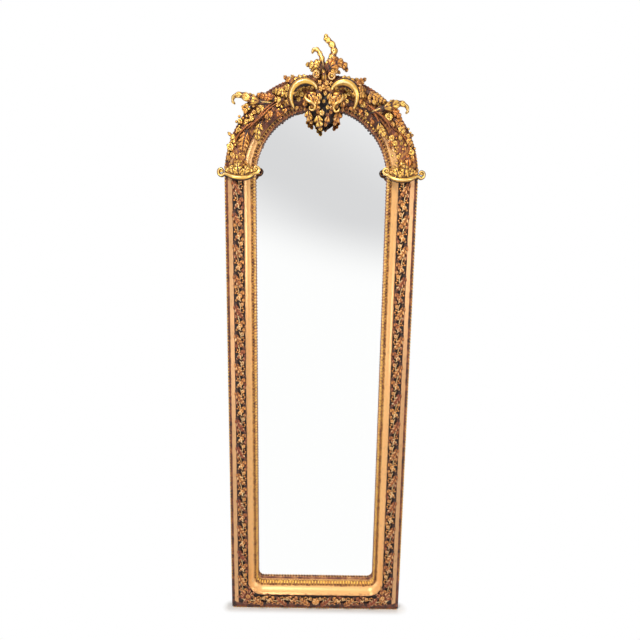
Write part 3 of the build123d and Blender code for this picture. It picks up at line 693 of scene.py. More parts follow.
def along_line(points, share):
    """Point and direction at a share of a smooth line through points."""
    last = len(points) - 1
    i = min(int(share * last), last - 1)
    u = share * last - i
    a, b, c, d = (points[min(max(i + k, 0), last)] for k in (-1, 0, 1, 2))
    bend, twist = 2 * a - 5 * b + 4 * c - d, 3 * b - a - 3 * c + d
    place = (2 * b + (c - a) * u + bend * u**2 + twist * u**3) / 2
    return place, ((c - a) + 2 * bend * u + 3 * twist * u**2).normalized()


def graded(values, share):
    """Value at a share of the way through a list of values."""
    last = len(values) - 1
    i = min(int(share * last), last - 1)
    return values[i] + (values[i + 1] - values[i]) * (share * last - i)


def leaf(work, points, width, lobes, tone, shape=PLAIN_LEAF, depth=0.5, cup=0.5, sweep=0.9):
    """Acanthus leaf along a line: fluted lobes that sweep forward from a grooved middle rib."""
    part = start_work()
    made = bmesh.ops.create_grid(part, x_segments=6 * lobes + 1, y_segments=8, size=1)["verts"]
    shading_of, hue, rib = (part.verts.layers.float[key] for key in POINT_VALUES)
    for vert in made:
        share, across = (vert.co.x + 1) / 2, vert.co.y
        reach = abs(across)
        place, ahead = along_line(points, share)
        side = ahead.cross(FRONT).normalized()
        up = side.cross(ahead)
        body = width * MM * graded(shape, share)
        ridge = 1 - abs(2 * (share * lobes % 1.0) - 1) ** 1.5
        half = body * (1 - depth * (1 - ridge) * (1 - 0.3 * share))
        rise = cup * body * (1 - reach**2) + FLUTE_RISE * body * (ridge - 0.6) * reach
        rise -= RIB_GROOVE * body * max(0.0, 1 - reach * 5)
        forward = sweep * half * reach**1.5 * (1 - 0.6 * share)
        vert.co = place + side * (across * half) + ahead * forward + up * rise
        # Painted light: highlight along the lobe ridges, painted shade in the notches, the middle rib and
        # the root.
        shade = 0.16 + 0.62 * ridge * reach**0.5 + 0.38 * (1 - reach) * min(1.0, reach * 5)
        vert[shading_of] = shade * min(1.0, 0.35 + 1.8 * share)
        vert[hue] = tone
        vert[rib] = 2 * (share * lobes - 0.55 * reach)
    bmesh.ops.solidify(part, geom=part.faces, thickness=LEAF_WALL * MM)
    pour(work, part)


def tube(work, points, radii, tone=0.2, ridges=0, flat=1.0, rings=9, shade=1.0):
    """Round stem or scroll along a smooth line, closed to a point at both ends."""
    part = start_work()
    length = rings * (len(points) - 1)
    around = max(8, 6 * ridges)
    made = bmesh.ops.create_grid(part, x_segments=length, y_segments=around, size=1)["verts"]
    shading_of, hue, rib = (part.verts.layers.float[key] for key in POINT_VALUES)
    for vert in made:
        share, turn = (vert.co.x + 1) / 2, math.pi * vert.co.y
        place, ahead = along_line(points, share)
        side = ahead.cross(FRONT).normalized()
        up = side.cross(ahead)
        radius = graded(radii, share) * MM * min(1.0, 4 * share * (1 - share) * rings) ** 0.5
        crest = math.cos(turn * ridges) if ridges else 1.0
        radius *= 1 + RIDGE_DEPTH * (crest - 1)
        vert.co = place + side * (math.sin(turn) * radius) + up * (math.cos(turn) * radius * flat)
        # Painted highlight along the front of the tube and its ridges, painted shade round its back, times
        # shade.
        vert[shading_of] = shade * (0.15 + 0.50 * max(0.0, math.cos(turn)) + 0.25 * max(0.0, crest))
        vert[hue] = tone
        vert[rib] = 1.6 * math.sin(turn)
    bmesh.ops.remove_doubles(part, verts=part.verts, dist=WELD * MM)
    pour(work, part)


def berry(work, place, radius, tone=0.3):
    part = start_work()
    made = bmesh.ops.create_icosphere(
        part, subdivisions=2, radius=radius * MM, matrix=Matrix.Translation(place)
    )["verts"]
    # Painted highlight on the front of the berry, painted shade round its sides.
    mark(part, made, tone, lambda v: 0.05 + 0.75 * max(0.0, (v.co - place).normalized().dot(FRONT)))
    pour(work, part)


def floret(work, place, radius, petals=5, turn=0.0, tone=0.2):
    """Open flower: cupped petals round a berry."""
    for k in range(petals):
        a = turn + 2 * math.pi * k / petals
        out = Vector((math.cos(a), 0, math.sin(a))) * radius * MM
        line = [place, place + out * 0.55 + FRONT * 0.25 * radius * MM, place + out]
        leaf(work, line, radius * 0.44, 1, tone, BLADE_LEAF, 0.0, 0.25, 0.1)
    berry(work, place + FRONT * 0.2 * radius * MM, radius * 0.26, tone)


def foliage_unit(work, place, chance):
    """One repeat of the running foliage. place(t, s, h) is a point t along and s outwards."""
    for line, width, lobes, tones in UNIT_LEAVES:
        leaf(work, [place(*p) for p in line], width, lobes, chance.uniform(*tones))
    for line, radii in UNIT_STEMS:
        tube(work, [place(*p) for p in line], radii, chance.uniform(0, 0.6), rings=3)
    for t, s, radius in UNIT_BERRIES:
        berry(work, place(t, s, BERRY_H), radius, chance.uniform(0.0, 0.5))
    floret(work, place(*UNIT_FLORET), FLORET_R, 5, chance.uniform(0, 1), chance.uniform(0.0, 0.4))


def finish_foliage(work, name, node_name, material):
    """Finishes a piece of leaf ornament that stands for one node."""
    finish_piece(work, name, material, "gilded_ornament", node_name)


def stile_foliage(name, side):
    """The running foliage of one stile, from the springing down to the bottom corner."""
    chance = random.Random(6 + side)
    work = start_work()
    for k in range(STILE_REPEATS):
        start = SPRING_Z - STILE_START - k * REPEAT

        def place(t, s, h):
            return at(side * (SIGHT_HALF + STRIP_MID + s), start - t, SEAT_F + SEAT_SLOPE * s + h)

        foliage_unit(work, place, chance)
    finish_foliage(work, f"foliage_of_stile_{name}", f"foliage_stile_{name}", FOLIAGE_GILDING)


FOLIAGE_GILDING = gilt_material(
    "foliage_gilding", (0.74, 0.31, 0.07), (0.34, 0.08, 0.03), 0.5, 0.55, 0.6, 1.9, -0.58
)
for side_name, side_sign in SIDES:
    stile_foliage(side_name, side_sign)

# Running foliage of the rail: the same leaves, turned outwards from a rosette in the middle,
# with a spray that fills each square corner outside the rounded cove.
RAIL_REPEATS = 3
RAIL_START = 16.0
RAIL_STRETCH = 0.86
RAIL_DROP = 3.0
RAIL_SPREAD = 1.1
CORNER_SPRAY = (272.0, 66.0)
CORNER_LEAVES = ((-8, 44), (40, 40), (98, 42), (150, 30), (-62, 30))
ROSETTE_X = 2


def rail_foliage():
    chance = random.Random(21)
    work = start_work()
    low = SIGHT_BOTTOM - STRIP_MID - RAIL_DROP
    for _, side in SIDES:
        for k in range(RAIL_REPEATS):
            start = RAIL_START + k * REPEAT * RAIL_STRETCH

            def place(t, s, h):
                x = side * (start + t * RAIL_STRETCH)
                return at(x, low - s * RAIL_SPREAD, SEAT_F + SEAT_SLOPE * s + h)

            foliage_unit(work, place, chance)
        corner, height = side * CORNER_SPRAY[0], CORNER_SPRAY[1]
        root = at(corner, height, SEAT_F + 2)
        for turn, reach in CORNER_LEAVES:
            a = math.radians(turn)
            tip = root + Vector((side * math.cos(a), 0, math.sin(a))) * reach * MM
            middle = (root + tip) / 2 + FRONT * 5 * MM
            leaf(work, [root, middle, tip], 9, 3, chance.uniform(0.2, 0.8))
        floret(work, at(corner, height, SEAT_F + 8), 10, 5, 0.4, 0.2)
    floret(work, at(ROSETTE_X, low, SEAT_F + 8), 17, 6, 0.2, 0.3)
    floret(work, at(ROSETTE_X, low, SEAT_F + 12), 9, 5, 0.5, 0.1)
    finish_foliage(work, "foliage_of_rail", "foliage_rail", FOLIAGE_GILDING)


rail_foliage()

# Garland of each half of the arch, modelled in composition over a low bed: broad leaves that
# hang towards the opening, dark stems, slender leaves, florets and bunches of berries. No two
# of its leaves are alike, so each is listed as its line, half width, lobes and tone.
GARLAND_LEAVES = {
    "left": (
        (((-251, 1872, 62), (-262, 1846, 72), (-269, 1818, 70), (-275, 1790, 60)), 21, 6, 0.75),
        (((-207, 1906, 60), (-213, 1880, 68), (-222, 1853, 64), (-214, 1822, 52)), 14, 5, 0.1),
        (((-287, 1832, 56), (-304, 1845, 60), (-326, 1862, 52)), 9, 3, 0.3),
        (((-282, 1824, 56), (-300, 1832, 60), (-318, 1843, 52)), 8, 3, 0.2),
        (((-158, 1948, 64), (-172, 1927, 70), (-190, 1912, 68), (-188, 1896, 56)), 11, 4, 0.7),
        (((-158, 1942, 62), (-150, 1923, 66), (-141, 1909, 54)), 9, 3, 0.85),
        (((-182, 1952, 66), (-201, 1942, 74), (-217, 1933, 70), (-236, 1925, 58)), 13, 4, 0.2),
        (((-294, 1744, 56), (-301, 1770, 64), (-308, 1796, 56)), 7, 2, 0.5),
        (((-283, 1746, 58), (-290, 1770, 64), (-296, 1792, 58)), 6, 2, 0.3),
        (((-261, 1746, 56), (-266, 1770, 62), (-273, 1794, 56)), 6, 2, 0.6),
        (((-320, 1760, 52), (-325, 1785, 56), (-320, 1808, 50)), 6, 2, 0.4),
        (((-112, 1996, 70), (-132, 1990, 78), (-152, 1994, 72), (-172, 1993, 58)), 14, 5, 0.15),
        (((-152, 1966, 64), (-177, 1974, 72), (-199, 1976, 68), (-223, 1984, 56)), 15, 5, 0.8),
        (((-122, 1974, 66), (-142, 1968, 74), (-160, 1968, 68), (-178, 1962, 58)), 10, 4, 0.1),
        (((-108, 1950, 52), (-126, 1936, 56), (-144, 1918, 50)), 7, 3, 0.7),
        (((-62, 1950, 50), (-86, 1946, 54), (-110, 1944, 50)), 6, 3, 0.5),
        (((-240, 1966, 58), (-256, 1950, 62), (-272, 1932, 54)), 9, 3, 0.5),
        (((-196, 1990, 54), (-214, 1984, 60), (-234, 1970, 56)), 8, 3, 0.6),
    ),
    "right": (
        (((193, 1912, 60), (197, 1886, 70), (209, 1866, 68), (230, 1848, 56)), 14, 5, 0.1),
        (((234, 1941, 62), (254, 1929, 66), (274, 1908, 54)), 13, 4, 0.8),
        (((243, 1913, 60), (266, 1896, 64), (288, 1872, 54)), 13, 5, 0.7),
        (((254, 1893, 62), (271, 1876, 70), (292, 1861, 56)), 10, 4, 0.1),
        (((278, 1866, 58), (295, 1858, 64), (318, 1862, 50)), 9, 3, 0.5),
        (((284, 1852, 58), (301, 1839, 62), (316, 1822, 52)), 11, 4, 0.5),
        (((265, 1865, 62), (272, 1843, 68), (277, 1824, 56)), 8, 2, 0.2),
        (((146, 2000, 68), (172, 1985, 72), (197, 1972, 70), (228, 1958, 56)), 15, 7, 0.45),
        (((148, 1963, 64), (165, 1966, 72), (183, 1962, 68), (201, 1955, 58)), 9, 3, 0.1),
        (((145, 1943, 56), (152, 1928, 62), (148, 1913, 52)), 7, 3, 0.2),
        (((164, 1921, 58), (172, 1902, 62), (173, 1887, 52)), 8, 3, 0.75),
        (((209, 1930, 66), (194, 1934, 72), (177, 1939, 62)), 8, 3, 0.1),
        (((300, 1736, 60), (301, 1766, 68), (295, 1800, 56)), 13, 3, 0.9),
        (((319, 1742, 54), (321, 1769, 58), (311, 1800, 52)), 9, 2, 0.6),
        (((282, 1740, 60), (280, 1762, 64), (284, 1780, 54)), 8, 3, 0.4),
        (((72, 1950, 50), (98, 1946, 54), (122, 1938, 50)), 6, 3, 0.6),
        (((116, 1952, 56), (130, 1938, 58), (142, 1922, 50)), 7, 3, 0.8),
        (((240, 1852, 58), (236, 1834, 64), (242, 1812, 52)), 9, 4, 0.85),
    ),
}
GARLAND_STEMS = {
    "left": (
        ((-160, 1962, 66), (-194, 1936, 72), (-214, 1912, 72), (-232, 1894, 66)),
        ((-155, 1956, 64), (-179, 1938, 70), (-204, 1914, 72), (-240, 1884, 68), (-286, 1846, 60)),
        ((-232, 1894, 66), (-262, 1876, 68), (-292, 1842, 62), (-305, 1800, 56), (-300, 1752, 56)),
        ((-107, 1990, 76), (-110, 1967, 72), (-98, 1943, 60)),
    ),
    "right": (
        ((144, 1964, 64), (178, 1936, 72), (204, 1918, 72), (230, 1897, 70), (254, 1870, 64)),
        ((156, 1960, 62), (184, 1918, 68), (201, 1886, 60)),
        ((160, 1956, 64), (199, 1922, 70), (225, 1895, 70), (240, 1862, 60)),
        ((249, 1879, 66), (272, 1862, 64), (296, 1836, 60), (304, 1800, 56), (300, 1752, 56)),
    ),
}
GARLAND_BERRIES = {
    "left": (
        (-148, 1936, 62, 5.5), (-138, 1945, 62, 5.5), (-153, 1947, 66, 5), (-133, 1935, 58, 5),
        (-180, 1905, 58, 4.5), (-250, 1937, 60, 6), (-240, 1918, 64, 5.5), (-257, 1913, 64, 6),
        (-270, 1906, 60, 6), (-248, 1899, 64, 5), (-262, 1925, 62, 6), (-276, 1892, 60, 5.5),
        (-284, 1880, 56, 5), (-262, 1888, 64, 5), (-278, 1867, 64, 4.5), (-255, 1882, 68, 4),
        (-245, 1880, 66, 4), (-266, 1872, 66, 4), (-294, 1860, 58, 4.5), (-284, 1913, 56, 5),
        (-294, 1896, 54, 5), (-272, 1783, 60, 4), (-279, 1763, 60, 4), (-270, 1752, 60, 4),
        (-258, 1795, 56, 4), (-282, 1790, 62, 4), (-313, 1830, 54, 4), (-298, 1818, 60, 4.5),
        (-251, 1776, 56, 3.5), (-256, 1756, 54, 3.5),
    ),
    "right": (
        (169, 1889, 56, 4.5), (177, 1878, 56, 4.5), (159, 1899, 54, 4.5), (135, 1936, 56, 5),
        (128, 1927, 54, 5), (117, 1946, 56, 5), (271, 1795, 60, 5), (255, 1805, 58, 5),
        (281, 1812, 60, 5.5), (289, 1826, 60, 5), (266, 1781, 60, 5), (277, 1773, 60, 5),
        (262, 1766, 58, 5), (246, 1790, 56, 4.5), (255, 1817, 60, 5), (308, 1816, 56, 5),
        (318, 1801, 54, 5), (304, 1799, 58, 5), (323, 1816, 52, 4.5), (312, 1787, 56, 4.5),
        (272, 1756, 60, 4.5), (254, 1752, 56, 4), (298, 1880, 54, 4.5), (306, 1868, 52, 4),
        (256, 1848, 64, 4),
    ),
}
GARLAND_FLORETS = {
    "left": (
        (-316, 1813, 58, 15), (-263, 1932, 60, 10), (-240, 1907, 64, 9), (-281, 1899, 58, 10),
        (-259, 1897, 66, 8), (-232, 1928, 62, 8), (-288, 1870, 58, 9), (-270, 1944, 56, 8),
        (-148, 1955, 66, 9), (-312, 1788, 54, 8),
    ),
    "right": (
        (227, 1918, 66, 16), (139, 1958, 60, 11), (240, 1849, 64, 11), (252, 1832, 64, 10),
        (312, 1803, 56, 11), (242, 1893, 66, 8), (262, 1818, 58, 9), (160, 1980, 70, 8), (303, 1843, 56, 8),
        (266, 1788, 60, 8),
    ),
}
BED_IN = (37.0, 60.0)
BED_OUT = (93.0, 51.0)
BED_RISE = 5.0
STEM_RADII = (2, 4.6, 5, 4, 1.6)


def line_at(points, side=1):
    """Points of the elevation, mirrored where side is -1."""
    return [at(side * x, z, f) for x, z, f in points]


def leaves(work, table, side=1):
    """All leaves of a table, each a line, half width, lobes and tone."""
    for line, width, lobes, tone in table:
        leaf(work, line_at(line, side), width, lobes, tone)


def finish_ornament(work, name, node_name):
    finish_foliage(work, name, node_name, ORNAMENT_GILDING)


def arch_bed(work, side):
    """Low bed of the garland, rough from the modelling tool."""
    part = start_work()
    made = bmesh.ops.create_grid(part, x_segments=72, y_segments=10, size=1)["verts"]
    for vert in made:
        turn, across = 45 * (vert.co.x + 1), (vert.co.y + 1) / 2
        w = BED_IN[0] + (BED_OUT[0] - BED_IN[0]) * across
        f = BED_IN[1] + (BED_OUT[1] - BED_IN[1]) * across
        knobs = 1 + 0.5 * math.sin(turn * 1.9) * math.sin(across * 9 + turn * 0.7)
        rise = BED_RISE * math.sin(math.pi * across) * knobs
        vert.co = polar(side, min(turn, 89.9), w, f + rise)

    def relief(vert):
        return 0.48 + 0.14 * math.sin(vert.co.x * 410) * math.sin(vert.co.z * 370)

    mark(part, made, 0.6, relief)
    bmesh.ops.solidify(part, geom=part.faces, thickness=-LEAF_WALL * MM)
    pour(work, part)


def garland(name, side):
    chance = random.Random(31 + side)
    work = start_work()
    arch_bed(work, side)
    leaves(work, GARLAND_LEAVES[name])
    for line in GARLAND_STEMS[name]:
        tube(work, line_at(line), STEM_RADII, 1.0, 1, rings=7, shade=0.62)
    for x, z, f, radius in GARLAND_BERRIES[name]:
        berry(work, at(x, z, f), radius, chance.uniform(0.0, 0.6))
    for x, z, f, radius in GARLAND_FLORETS[name]:
        floret(work, at(x, z, f), radius, 5, chance.uniform(0, 1.2), chance.uniform(0.1, 0.6))
    finish_ornament(work, f"garland_{name}", f"foliage_arch_{name}")


ORNAMENT_GILDING = gilt_material("ornament_gilding", PALE_GOLD, ORANGE, 0.5, 0.6, 0.6, 1.5, -0.37)
for side_name, side_sign in SIDES:
    garland(side_name, side_sign)

# Acanthus collars at the two springings, each one casting: a hollow rim that is rolled into a
# volute over the opening and another past the outer edge, and a spray of leaves above it.
COLLAR_RIM = (
    (238, 1735, 50), (236, 1724, 58), (246, 1715, 68), (262, 1709, 75), (284, 1708, 78), (305, 1711, 74),
    (322, 1717, 63), (337, 1722, 55), (349, 1716, 52), (359, 1722, 52), (359, 1734, 53), (350, 1739, 54),
    (343, 1732, 55), (349, 1727, 56),
)
RIM_RADII = (3, 7, 9, 11, 11.5, 11, 9, 7.5, 7, 6.4, 5.8, 5, 4, 3)
INNER_VOLUTE = (
    (246, 1718, 60), (236, 1724, 56), (223, 1728, 52), (217, 1738, 50), (223, 1747, 51), (233, 1745, 53),
    (235, 1736, 55), (228, 1735, 56),
)
INNER_RADII = (5, 7.5, 7.5, 6.5, 5.6, 4.8, 4, 3)
VOLUTE_EYES = ((350, 1730, 55), (227, 1738, 54))
COLLAR_SPRAY = (
    (((284, 1712, 74), (287, 1736, 78), (292, 1768, 66)), 17, 5, 0.3),
    (((268, 1712, 72), (262, 1734, 74), (251, 1757, 62)), 13, 4, 0.15),
    (((252, 1716, 66), (246, 1733, 66), (243, 1750, 56)), 9, 3, 0.4),
    (((302, 1714, 70), (308, 1736, 70), (318, 1760, 58)), 12, 4, 0.2),
    (((316, 1718, 62), (326, 1734, 62), (339, 1748, 54)), 9, 3, 0.35),
    (((236, 1727, 54), (258, 1722, 68), (288, 1722, 76), (318, 1730, 62)), 12, 7, 0.2),
)


def collar(name, side):
    work = start_work()
    tube(work, line_at(COLLAR_RIM, side), RIM_RADII, 0.1, 3, rings=5)
    tube(work, line_at(INNER_VOLUTE, side), INNER_RADII, 0.15, 2, rings=5)
    for eye in line_at(VOLUTE_EYES, side):
        berry(work, eye, 5, 0.2)
    finish_ornament(work, f"springing_collar_{name}", f"collar_{name}")
    work = start_work()
    leaves(work, COLLAR_SPRAY, side)
    finish_ornament(work, f"collar_spray_{name}", f"collar_leaf_{name}")


for side_name, side_sign in SIDES:
    collar(side_name, side_sign)

# Horn leaves at the haunches, cast in one with their roots: long fluted leaves that leave the
# arch, stand clear of its outer edge and curl over at the tip.
HORN_LINE = {
    "left": (
        (-168, 1957, 66), (-200, 1957, 73), (-224, 1961, 75), (-246, 1969, 74), (-268, 1979, 70),
        (-288, 1982, 64), (-302, 1976, 59), (-306, 1964, 56), (-298, 1955, 54),
    ),
    "right": (
        (165, 1931, 66), (196, 1941, 73), (217, 1947, 76), (238, 1953, 75), (258, 1960, 70),
        (276, 1960, 64), (289, 1952, 58), (293, 1940, 56), (286, 1932, 54),
    ),
}
HORN_WIDTHS = (0.4, 0.75, 1.0, 0.95, 0.75, 0.55, 0.42, 0.34, 0.1)
HORN_RADII = (2, 3, 3.4, 3, 2.6, 2.6, 3, 3.4, 2.8)
HORN_SIDE_LEAVES = {
    "left": (
        (((-214, 1962, 70), (-232, 1975, 70), (-250, 1988, 60)), 8, 3, 0.2),
        (((-210, 1952, 70), (-232, 1950, 68), (-252, 1952, 58)), 8, 3, 0.5),
    ),
    "right": (
        (((216, 1952, 72), (232, 1964, 70), (246, 1973, 60)), 8, 3, 0.3),
        (((224, 1942, 70), (242, 1940, 68), (262, 1940, 58)), 9, 3, 0.8),
    ),
}


def horn(name):
    work = start_work()
    leaf(work, line_at(HORN_LINE[name]), 15, 6, 0.1, HORN_WIDTHS, 0.34, 0.75, 1.0)
    midrib = [at(x, z, f + 5) for x, z, f in HORN_LINE[name]]
    tube(work, midrib, HORN_RADII, 0.05, rings=4)
    leaves(work, HORN_SIDE_LEAVES[name])
    finish_ornament(work, f"haunch_horn_{name}", f"horn_leaf_{name}")


for side_name, _ in SIDES:
    horn(side_name)

# Crown: on each side of the cartouche a hooped C scroll with a fringe of short lobes inside it,
# a fan of leaves on its back along the arch, and two small flowers in its hollow.
CROWN_LINE = {
    "left": (
        (-20, 1996, 84), (-24, 2008, 88), (-38, 2017, 92), (-58, 2021, 94), (-80, 2015, 93),
        (-97, 2000, 90), (-105, 1980, 84), (-104, 1960, 75), (-96, 1940, 64),
    ),
    "right": (
        (31, 1994, 84), (36, 2006, 88), (50, 2015, 92), (70, 2020, 94), (92, 2014, 93), (108, 1999, 90),
        (116, 1980, 84), (115, 1960, 75), (107, 1940, 64),
    ),
}
CROWN_RADII = (5.9, 10.4, 14.3, 16.9, 16.9, 15.6, 13, 9.8, 5.2)
LOBE_F = (88, 90, 82)
CROWN_LOBES = {
    "left": (
        ((-30, 2012), (-40, 1996)), ((-44, 2016), (-52, 2001)), ((-60, 2018), (-64, 2003)),
        ((-76, 2013), (-76, 1998)), ((-90, 2003), (-84, 1990)), ((-98, 1989), (-88, 1980)),
    ),
    "right": (
        ((44, 2010), (52, 1994)), ((58, 2015), (62, 2000)), ((74, 2016), (76, 2001)),
        ((89, 2011), (88, 1996)), ((102, 2001), (96, 1988)), ((109, 1988), (100, 1979)),
    ),
}
CROWN_FAN = {
    "left": (
        (((-88, 2016, 80), (-106, 2024, 82), (-120, 2034, 72), (-132, 2046, 60)), 12, 3, 0.55),
        (((-78, 2024, 78), (-94, 2034, 76), (-108, 2048, 62)), 9, 2, 0.3),
        (((-98, 2004, 84), (-116, 2004, 82), (-134, 2000, 70)), 12, 4, 0.1),
        (((-104, 1990, 82), (-120, 1984, 78), (-136, 1976, 66)), 10, 3, 0.05),
        (((-106, 1974, 78), (-118, 1962, 72), (-128, 1950, 62)), 9, 3, 0.4),
        (((-34, 2030, 70), (-60, 2036, 76), (-84, 2034, 72), (-100, 2026, 62)), 12, 5, 0.15),
    ),
    "right": (
        (((98, 2014, 80), (116, 2020, 82), (132, 2030, 72), (148, 2042, 58)), 13, 4, 0.6),
        (((90, 2022, 78), (106, 2030, 76), (124, 2038, 62)), 9, 2, 0.25),
        (((108, 2004, 84), (126, 2002, 82), (146, 2006, 68)), 12, 4, 0.5),
        (((114, 1991, 82), (130, 1986, 80), (150, 1984, 66)), 12, 4, 0.3),
        (((116, 1976, 80), (128, 1966, 76), (140, 1962, 62)), 10, 3, 0.6),
        (((44, 2028, 70), (70, 2034, 76), (94, 2032, 72), (110, 2024, 62)), 12, 5, 0.15),
    ),
}
CROWN_FLOWERS = {
    "left": ((-76, 2004, 74, 10), (-86, 1988, 72, 8), (-70, 1986, 72, 9), (-80, 1970, 68, 8)),
    "right": ((84, 2006, 72, 11), (90, 1990, 72, 8), (76, 1982, 70, 9), (84, 1966, 68, 7)),
}


def crown(name):
    work = start_work()
    tube(work, line_at(CROWN_LINE[name]), CROWN_RADII, 0.12, 3, 0.8, 6)
    for (x0, z0), (x1, z1) in CROWN_LOBES[name]:
        lobe = ((x0, z0), ((x0 + x1) / 2, (z0 + z1) / 2), (x1, z1))
        line = [at(x, z, f) for (x, z), f in zip(lobe, LOBE_F)]
        leaf(work, line, 6.5, 2, 0.15, depth=0.4)
    finish_ornament(work, f"crown_hoop_{name}", f"crown_scroll_{name}")
    work = start_work()
    leaves(work, CROWN_FAN[name])
    finish_ornament(work, f"crown_fan_{name}", f"crown_leaf_{name}")
    work = start_work()
    for x, z, f, radius in CROWN_FLOWERS[name]:
        floret(work, at(x, z, f), radius, 5, x % 1.3, 0.2)
    tube(work, [at(x, z, f - 4) for x, z, f, _ in CROWN_FLOWERS[name]], (2, 3, 3, 2), 0.7, rings=4)
    finish_ornament(work, f"crown_flowers_{name}", f"scroll_flower_{name}")


for side_name, _ in SIDES:
    crown(side_name)

# Cartouche under the crest, one casting: a dark shell that ends in three pointed lobes over the
# opening, with two scrolled leaves on its face, a frill on each edge and small blossoms.
SHELL_CENTRE = (5, 1942)
SHELL_SIZE = (60, 56)
SHELL_F = 58
SHELL_RISE = 16
SHELL_WALL = 3
SCROLL_RADII = (4, 7, 7.5, 7, 6, 5.4, 4.6, 3)
CARTOUCHE_LEAVES = (
    (((-44, 1944, 62), (-46, 1918, 74), (-34, 1893, 62)), 14, 4, 0.5),
    (((-16, 1932, 66), (-12, 1902, 78), (-3, 1870, 66)), 15, 4, 0.05),
    (((52, 1944, 62), (53, 1916, 74), (41, 1889, 62)), 14, 4, 0.6),
    (((20, 1932, 66), (18, 1908, 74), (10, 1884, 62)), 10, 3, 0.7),
    (((-38, 1984, 68), (-56, 1966, 74), (-58, 1934, 62)), 11, 4, 0.6),
    (((48, 1984, 68), (66, 1966, 74), (70, 1934, 62)), 11, 4, 0.6),
)
CARTOUCHE_BLOSSOMS = (
    (-1, 1925, 82, 10), (-12, 1941, 84, 6), (18, 1943, 84, 7), (5, 1962, 84, 6), (10, 1986, 86, 7),
    (24, 2000, 84, 7), (-6, 1999, 84, 6),
)
FACE_SCROLLS = {
    "left": (
        (-52, 1984, 84), (-57, 1971, 92), (-48, 1959, 98), (-34, 1953, 101), (-24, 1943, 98),
        (-30, 1931, 92), (-42, 1934, 90), (-42, 1944, 92),
    ),
    "right": (
        (64, 1986, 84), (68, 1972, 92), (60, 1959, 98), (46, 1951, 101), (38, 1939, 98), (44, 1927, 92),
        (55, 1931, 90), (56, 1941, 92),
    ),
}
FACE_LEAVES = {
    "left": (
        (((-22, 2000, 84), (-12, 1980, 94), (-16, 1958, 96), (-24, 1938, 86)), 11, 4, 0.4),
        (((-52, 1986, 82), (-40, 1978, 96), (-30, 1960, 98), (-36, 1938, 88)), 18, 5, 0.5),
        (((-24, 1964, 84), (-20, 1944, 90), (-12, 1922, 80)), 10, 3, 0.7),
    ),
    "right": (
        (((38, 2000, 84), (26, 1980, 94), (29, 1958, 96), (38, 1938, 86)), 11, 4, 0.4),
        (((66, 1986, 82), (54, 1978, 96), (44, 1960, 98), (50, 1938, 88)), 18, 5, 0.5),
        (((38, 1964, 84), (34, 1944, 90), (28, 1922, 80)), 10, 3, 0.7),
    ),
}


def shell():
    """Swelling shield under the leaves, fluted towards its lower edge."""
    part = start_work()
    made = bmesh.ops.create_grid(part, x_segments=24, y_segments=24, size=1)["verts"]
    for vert in made:
        u, v = vert.co.x, vert.co.y
        u *= math.sqrt(1 - v * v / 2)
        v *= math.sqrt(1 - vert.co.x**2 / 2)
        reach = math.hypot(u, v)
        flute = 0.8 + 0.2 * math.cos(9 * math.atan2(u, -v))
        rise = SHELL_RISE * (1 - reach**2) * flute
        x = SHELL_CENTRE[0] + SHELL_SIZE[0] * u * (1 - 0.3 * max(0.0, -v))
        vert.co = at(x, SHELL_CENTRE[1] + SHELL_SIZE[1] * v, SHELL_F + rise)
    mark(part, made, 0.8, 0.16)
    bmesh.ops.solidify(part, geom=part.faces, thickness=-SHELL_WALL * MM)
    return part


def cartouche():
    work = start_work()
    pour(work, shell())
    leaves(work, CARTOUCHE_LEAVES)
    for x, z, f, radius in CARTOUCHE_BLOSSOMS:
        floret(work, at(x, z, f), radius, 5, x % 1.1, 0.35)
    finish_ornament(work, "cartouche_shell", "cartouche")
    for name, _ in SIDES:
        work = start_work()
        tube(work, line_at(FACE_SCROLLS[name]), SCROLL_RADII, 0.35, 2, rings=5)
        leaves(work, FACE_LEAVES[name])
        finish_ornament(work, f"cartouche_scroll_{name}", f"cartouche_leaf_{name}")


cartouche()

# Crest, cast in parts and pinned to the tenon block: a tall plume that leans right and turns
# back, a smaller one hooked left, spreading leaves, a bud, two rolled eyes and a knot of curls.
PLUME = (
    (8, 2062, 66), (22, 2084, 70), (33, 2108, 70), (36, 2130, 67), (25, 2150, 64), (10, 2165, 62),
    (9, 2178, 58),
)
CURL = ((2, 2066, 66), (-1, 2090, 68), (-8, 2112, 65), (-20, 2129, 61), (-33, 2128, 58), (-36, 2119, 56))
PLUME_WIDTHS = (0.9, 1.0, 0.95, 0.85, 0.75, 0.6, 0.2)
PLUME_RADII = (4, 6, 5.5, 5, 5, 5, 3)
CURL_WIDTHS = (0.9, 1.0, 0.85, 0.75, 0.6, 0.2)
CURL_RADII = (3, 4.5, 4.5, 4.5, 4.5, 3)
MIDRIB_RISE = 0.003
BUD_LINE = ((5, 2026, 82), (5, 2044, 90), (-1, 2064, 82))
CREST_LEAVES = {
    "left": (
        (((0, 2058, 70), (-16, 2074, 77), (-38, 2079, 72), (-58, 2083, 60)), 16, 4, 0.15),
        (((-4, 2066, 68), (-14, 2084, 72), (-22, 2099, 62)), 10, 3, 0.1),
        (((-6, 2056, 70), (-22, 2062, 74), (-42, 2064, 62)), 9, 3, 0.3),
    ),
    "right": (
        (((10, 2052, 74), (28, 2070, 82), (54, 2082, 78), (74, 2076, 68), (82, 2062, 58)), 18, 5, 0.55),
        (((12, 2060, 74), (24, 2080, 80), (42, 2096, 74), (52, 2104, 62)), 14, 4, 0.7),
        (((6, 2066, 70), (18, 2086, 74), (26, 2106, 64)), 10, 4, 0.2),
        (((14, 2052, 74), (38, 2060, 80), (60, 2056, 66)), 11, 4, 0.4),
    ),
}
EYES = ((-21, 2047, 78, 12), (31, 2041, 78, 13))
EYE_STEPS = 12
STEPS_PER_TURN = 8
EYE_RISE = 0.4
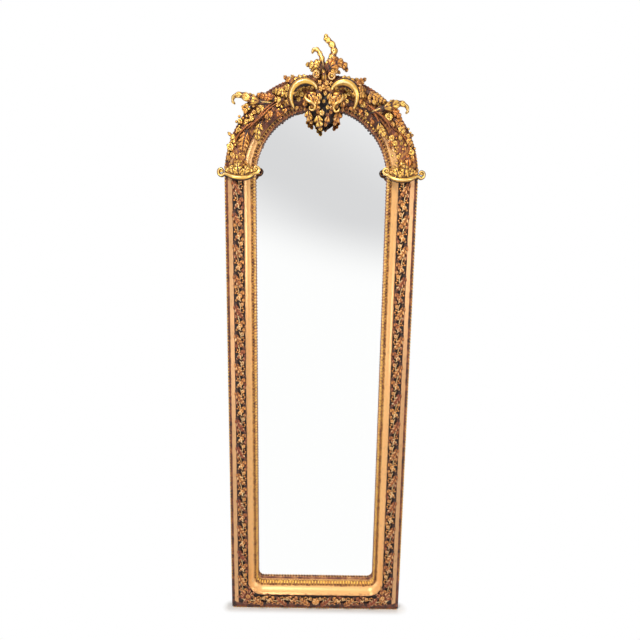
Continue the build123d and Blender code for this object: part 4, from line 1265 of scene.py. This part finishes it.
KNOT = (
    (-10, 2022, 84, 8), (14, 2020, 86, 9), (29, 2018, 82, 7), (3, 2006, 84, 9), (18, 2004, 84, 7),
    (-8, 2004, 82, 7),
)


def crest_piece(name, node_name, build_it):
    work = start_work()
    build_it(work)
    finish_ornament(work, name, node_name)


def plume(work):
    line = line_at(PLUME)
    leaf(work, line, 14, 6, 0.2, PLUME_WIDTHS, 0.35, 0.8, 0.9)
    tube(work, [p + FRONT * MIDRIB_RISE for p in line], PLUME_RADII, 0.1, 2, rings=5)
    for x, z, f, radius in ((7, 2160, 66, 6.5), (12, 2172, 62, 4.5)):
        berry(work, at(x, z, f), radius, 0.1)


def hooked_curl(work):
    line = line_at(CURL)
    leaf(work, line, 10, 6, 0.3, CURL_WIDTHS, 0.35, 0.8, 0.7)
    tube(work, [p + FRONT * MIDRIB_RISE for p in line], CURL_RADII, 0.2, rings=5)


def bud(work):
    leaf(work, line_at(BUD_LINE), 9, 2, 0.3, BLADE_LEAF, 0.2, 0.9, 0.4)
    for x, z, f, radius in KNOT:
        floret(work, at(x, z, f), radius, 4, x % 0.9, 0.5)
        berry(work, at(x, z, f + 2), radius * 0.4, 0.4)


def eyes(work):
    for x, z, f, radius in EYES:
        rolled = []
        for k in range(EYE_STEPS):
            turn = 2 * math.pi * k / STEPS_PER_TURN * math.copysign(1, x)
            arm = radius * (1 - k / (2 * EYE_STEPS))
            rolled.append(at(x + math.cos(turn) * arm, z + math.sin(turn) * arm, f + k * EYE_RISE))
        tube(work, rolled, (3, 4, 4, 3.5, 3), 0.6, rings=3)
        berry(work, at(x, z, f + 4), radius * 0.45, 0.3)


def crest_leaves(name):
    work = start_work()
    leaves(work, CREST_LEAVES[name])
    finish_ornament(work, f"crest_leaf_{name}", f"finial_leaf_{name}")


crest_piece("crest_plume", "finial_plume", plume)
crest_piece("crest_curl", "finial_curl", hooked_curl)
crest_piece("crest_bud", "finial_bud", bud)
crest_piece("crest_eyes", "finial_fruits", eyes)
for side_name, _ in SIDES:
    crest_leaves(side_name)

[[list(corner) for corner in box] for box in (size_at_load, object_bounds())]
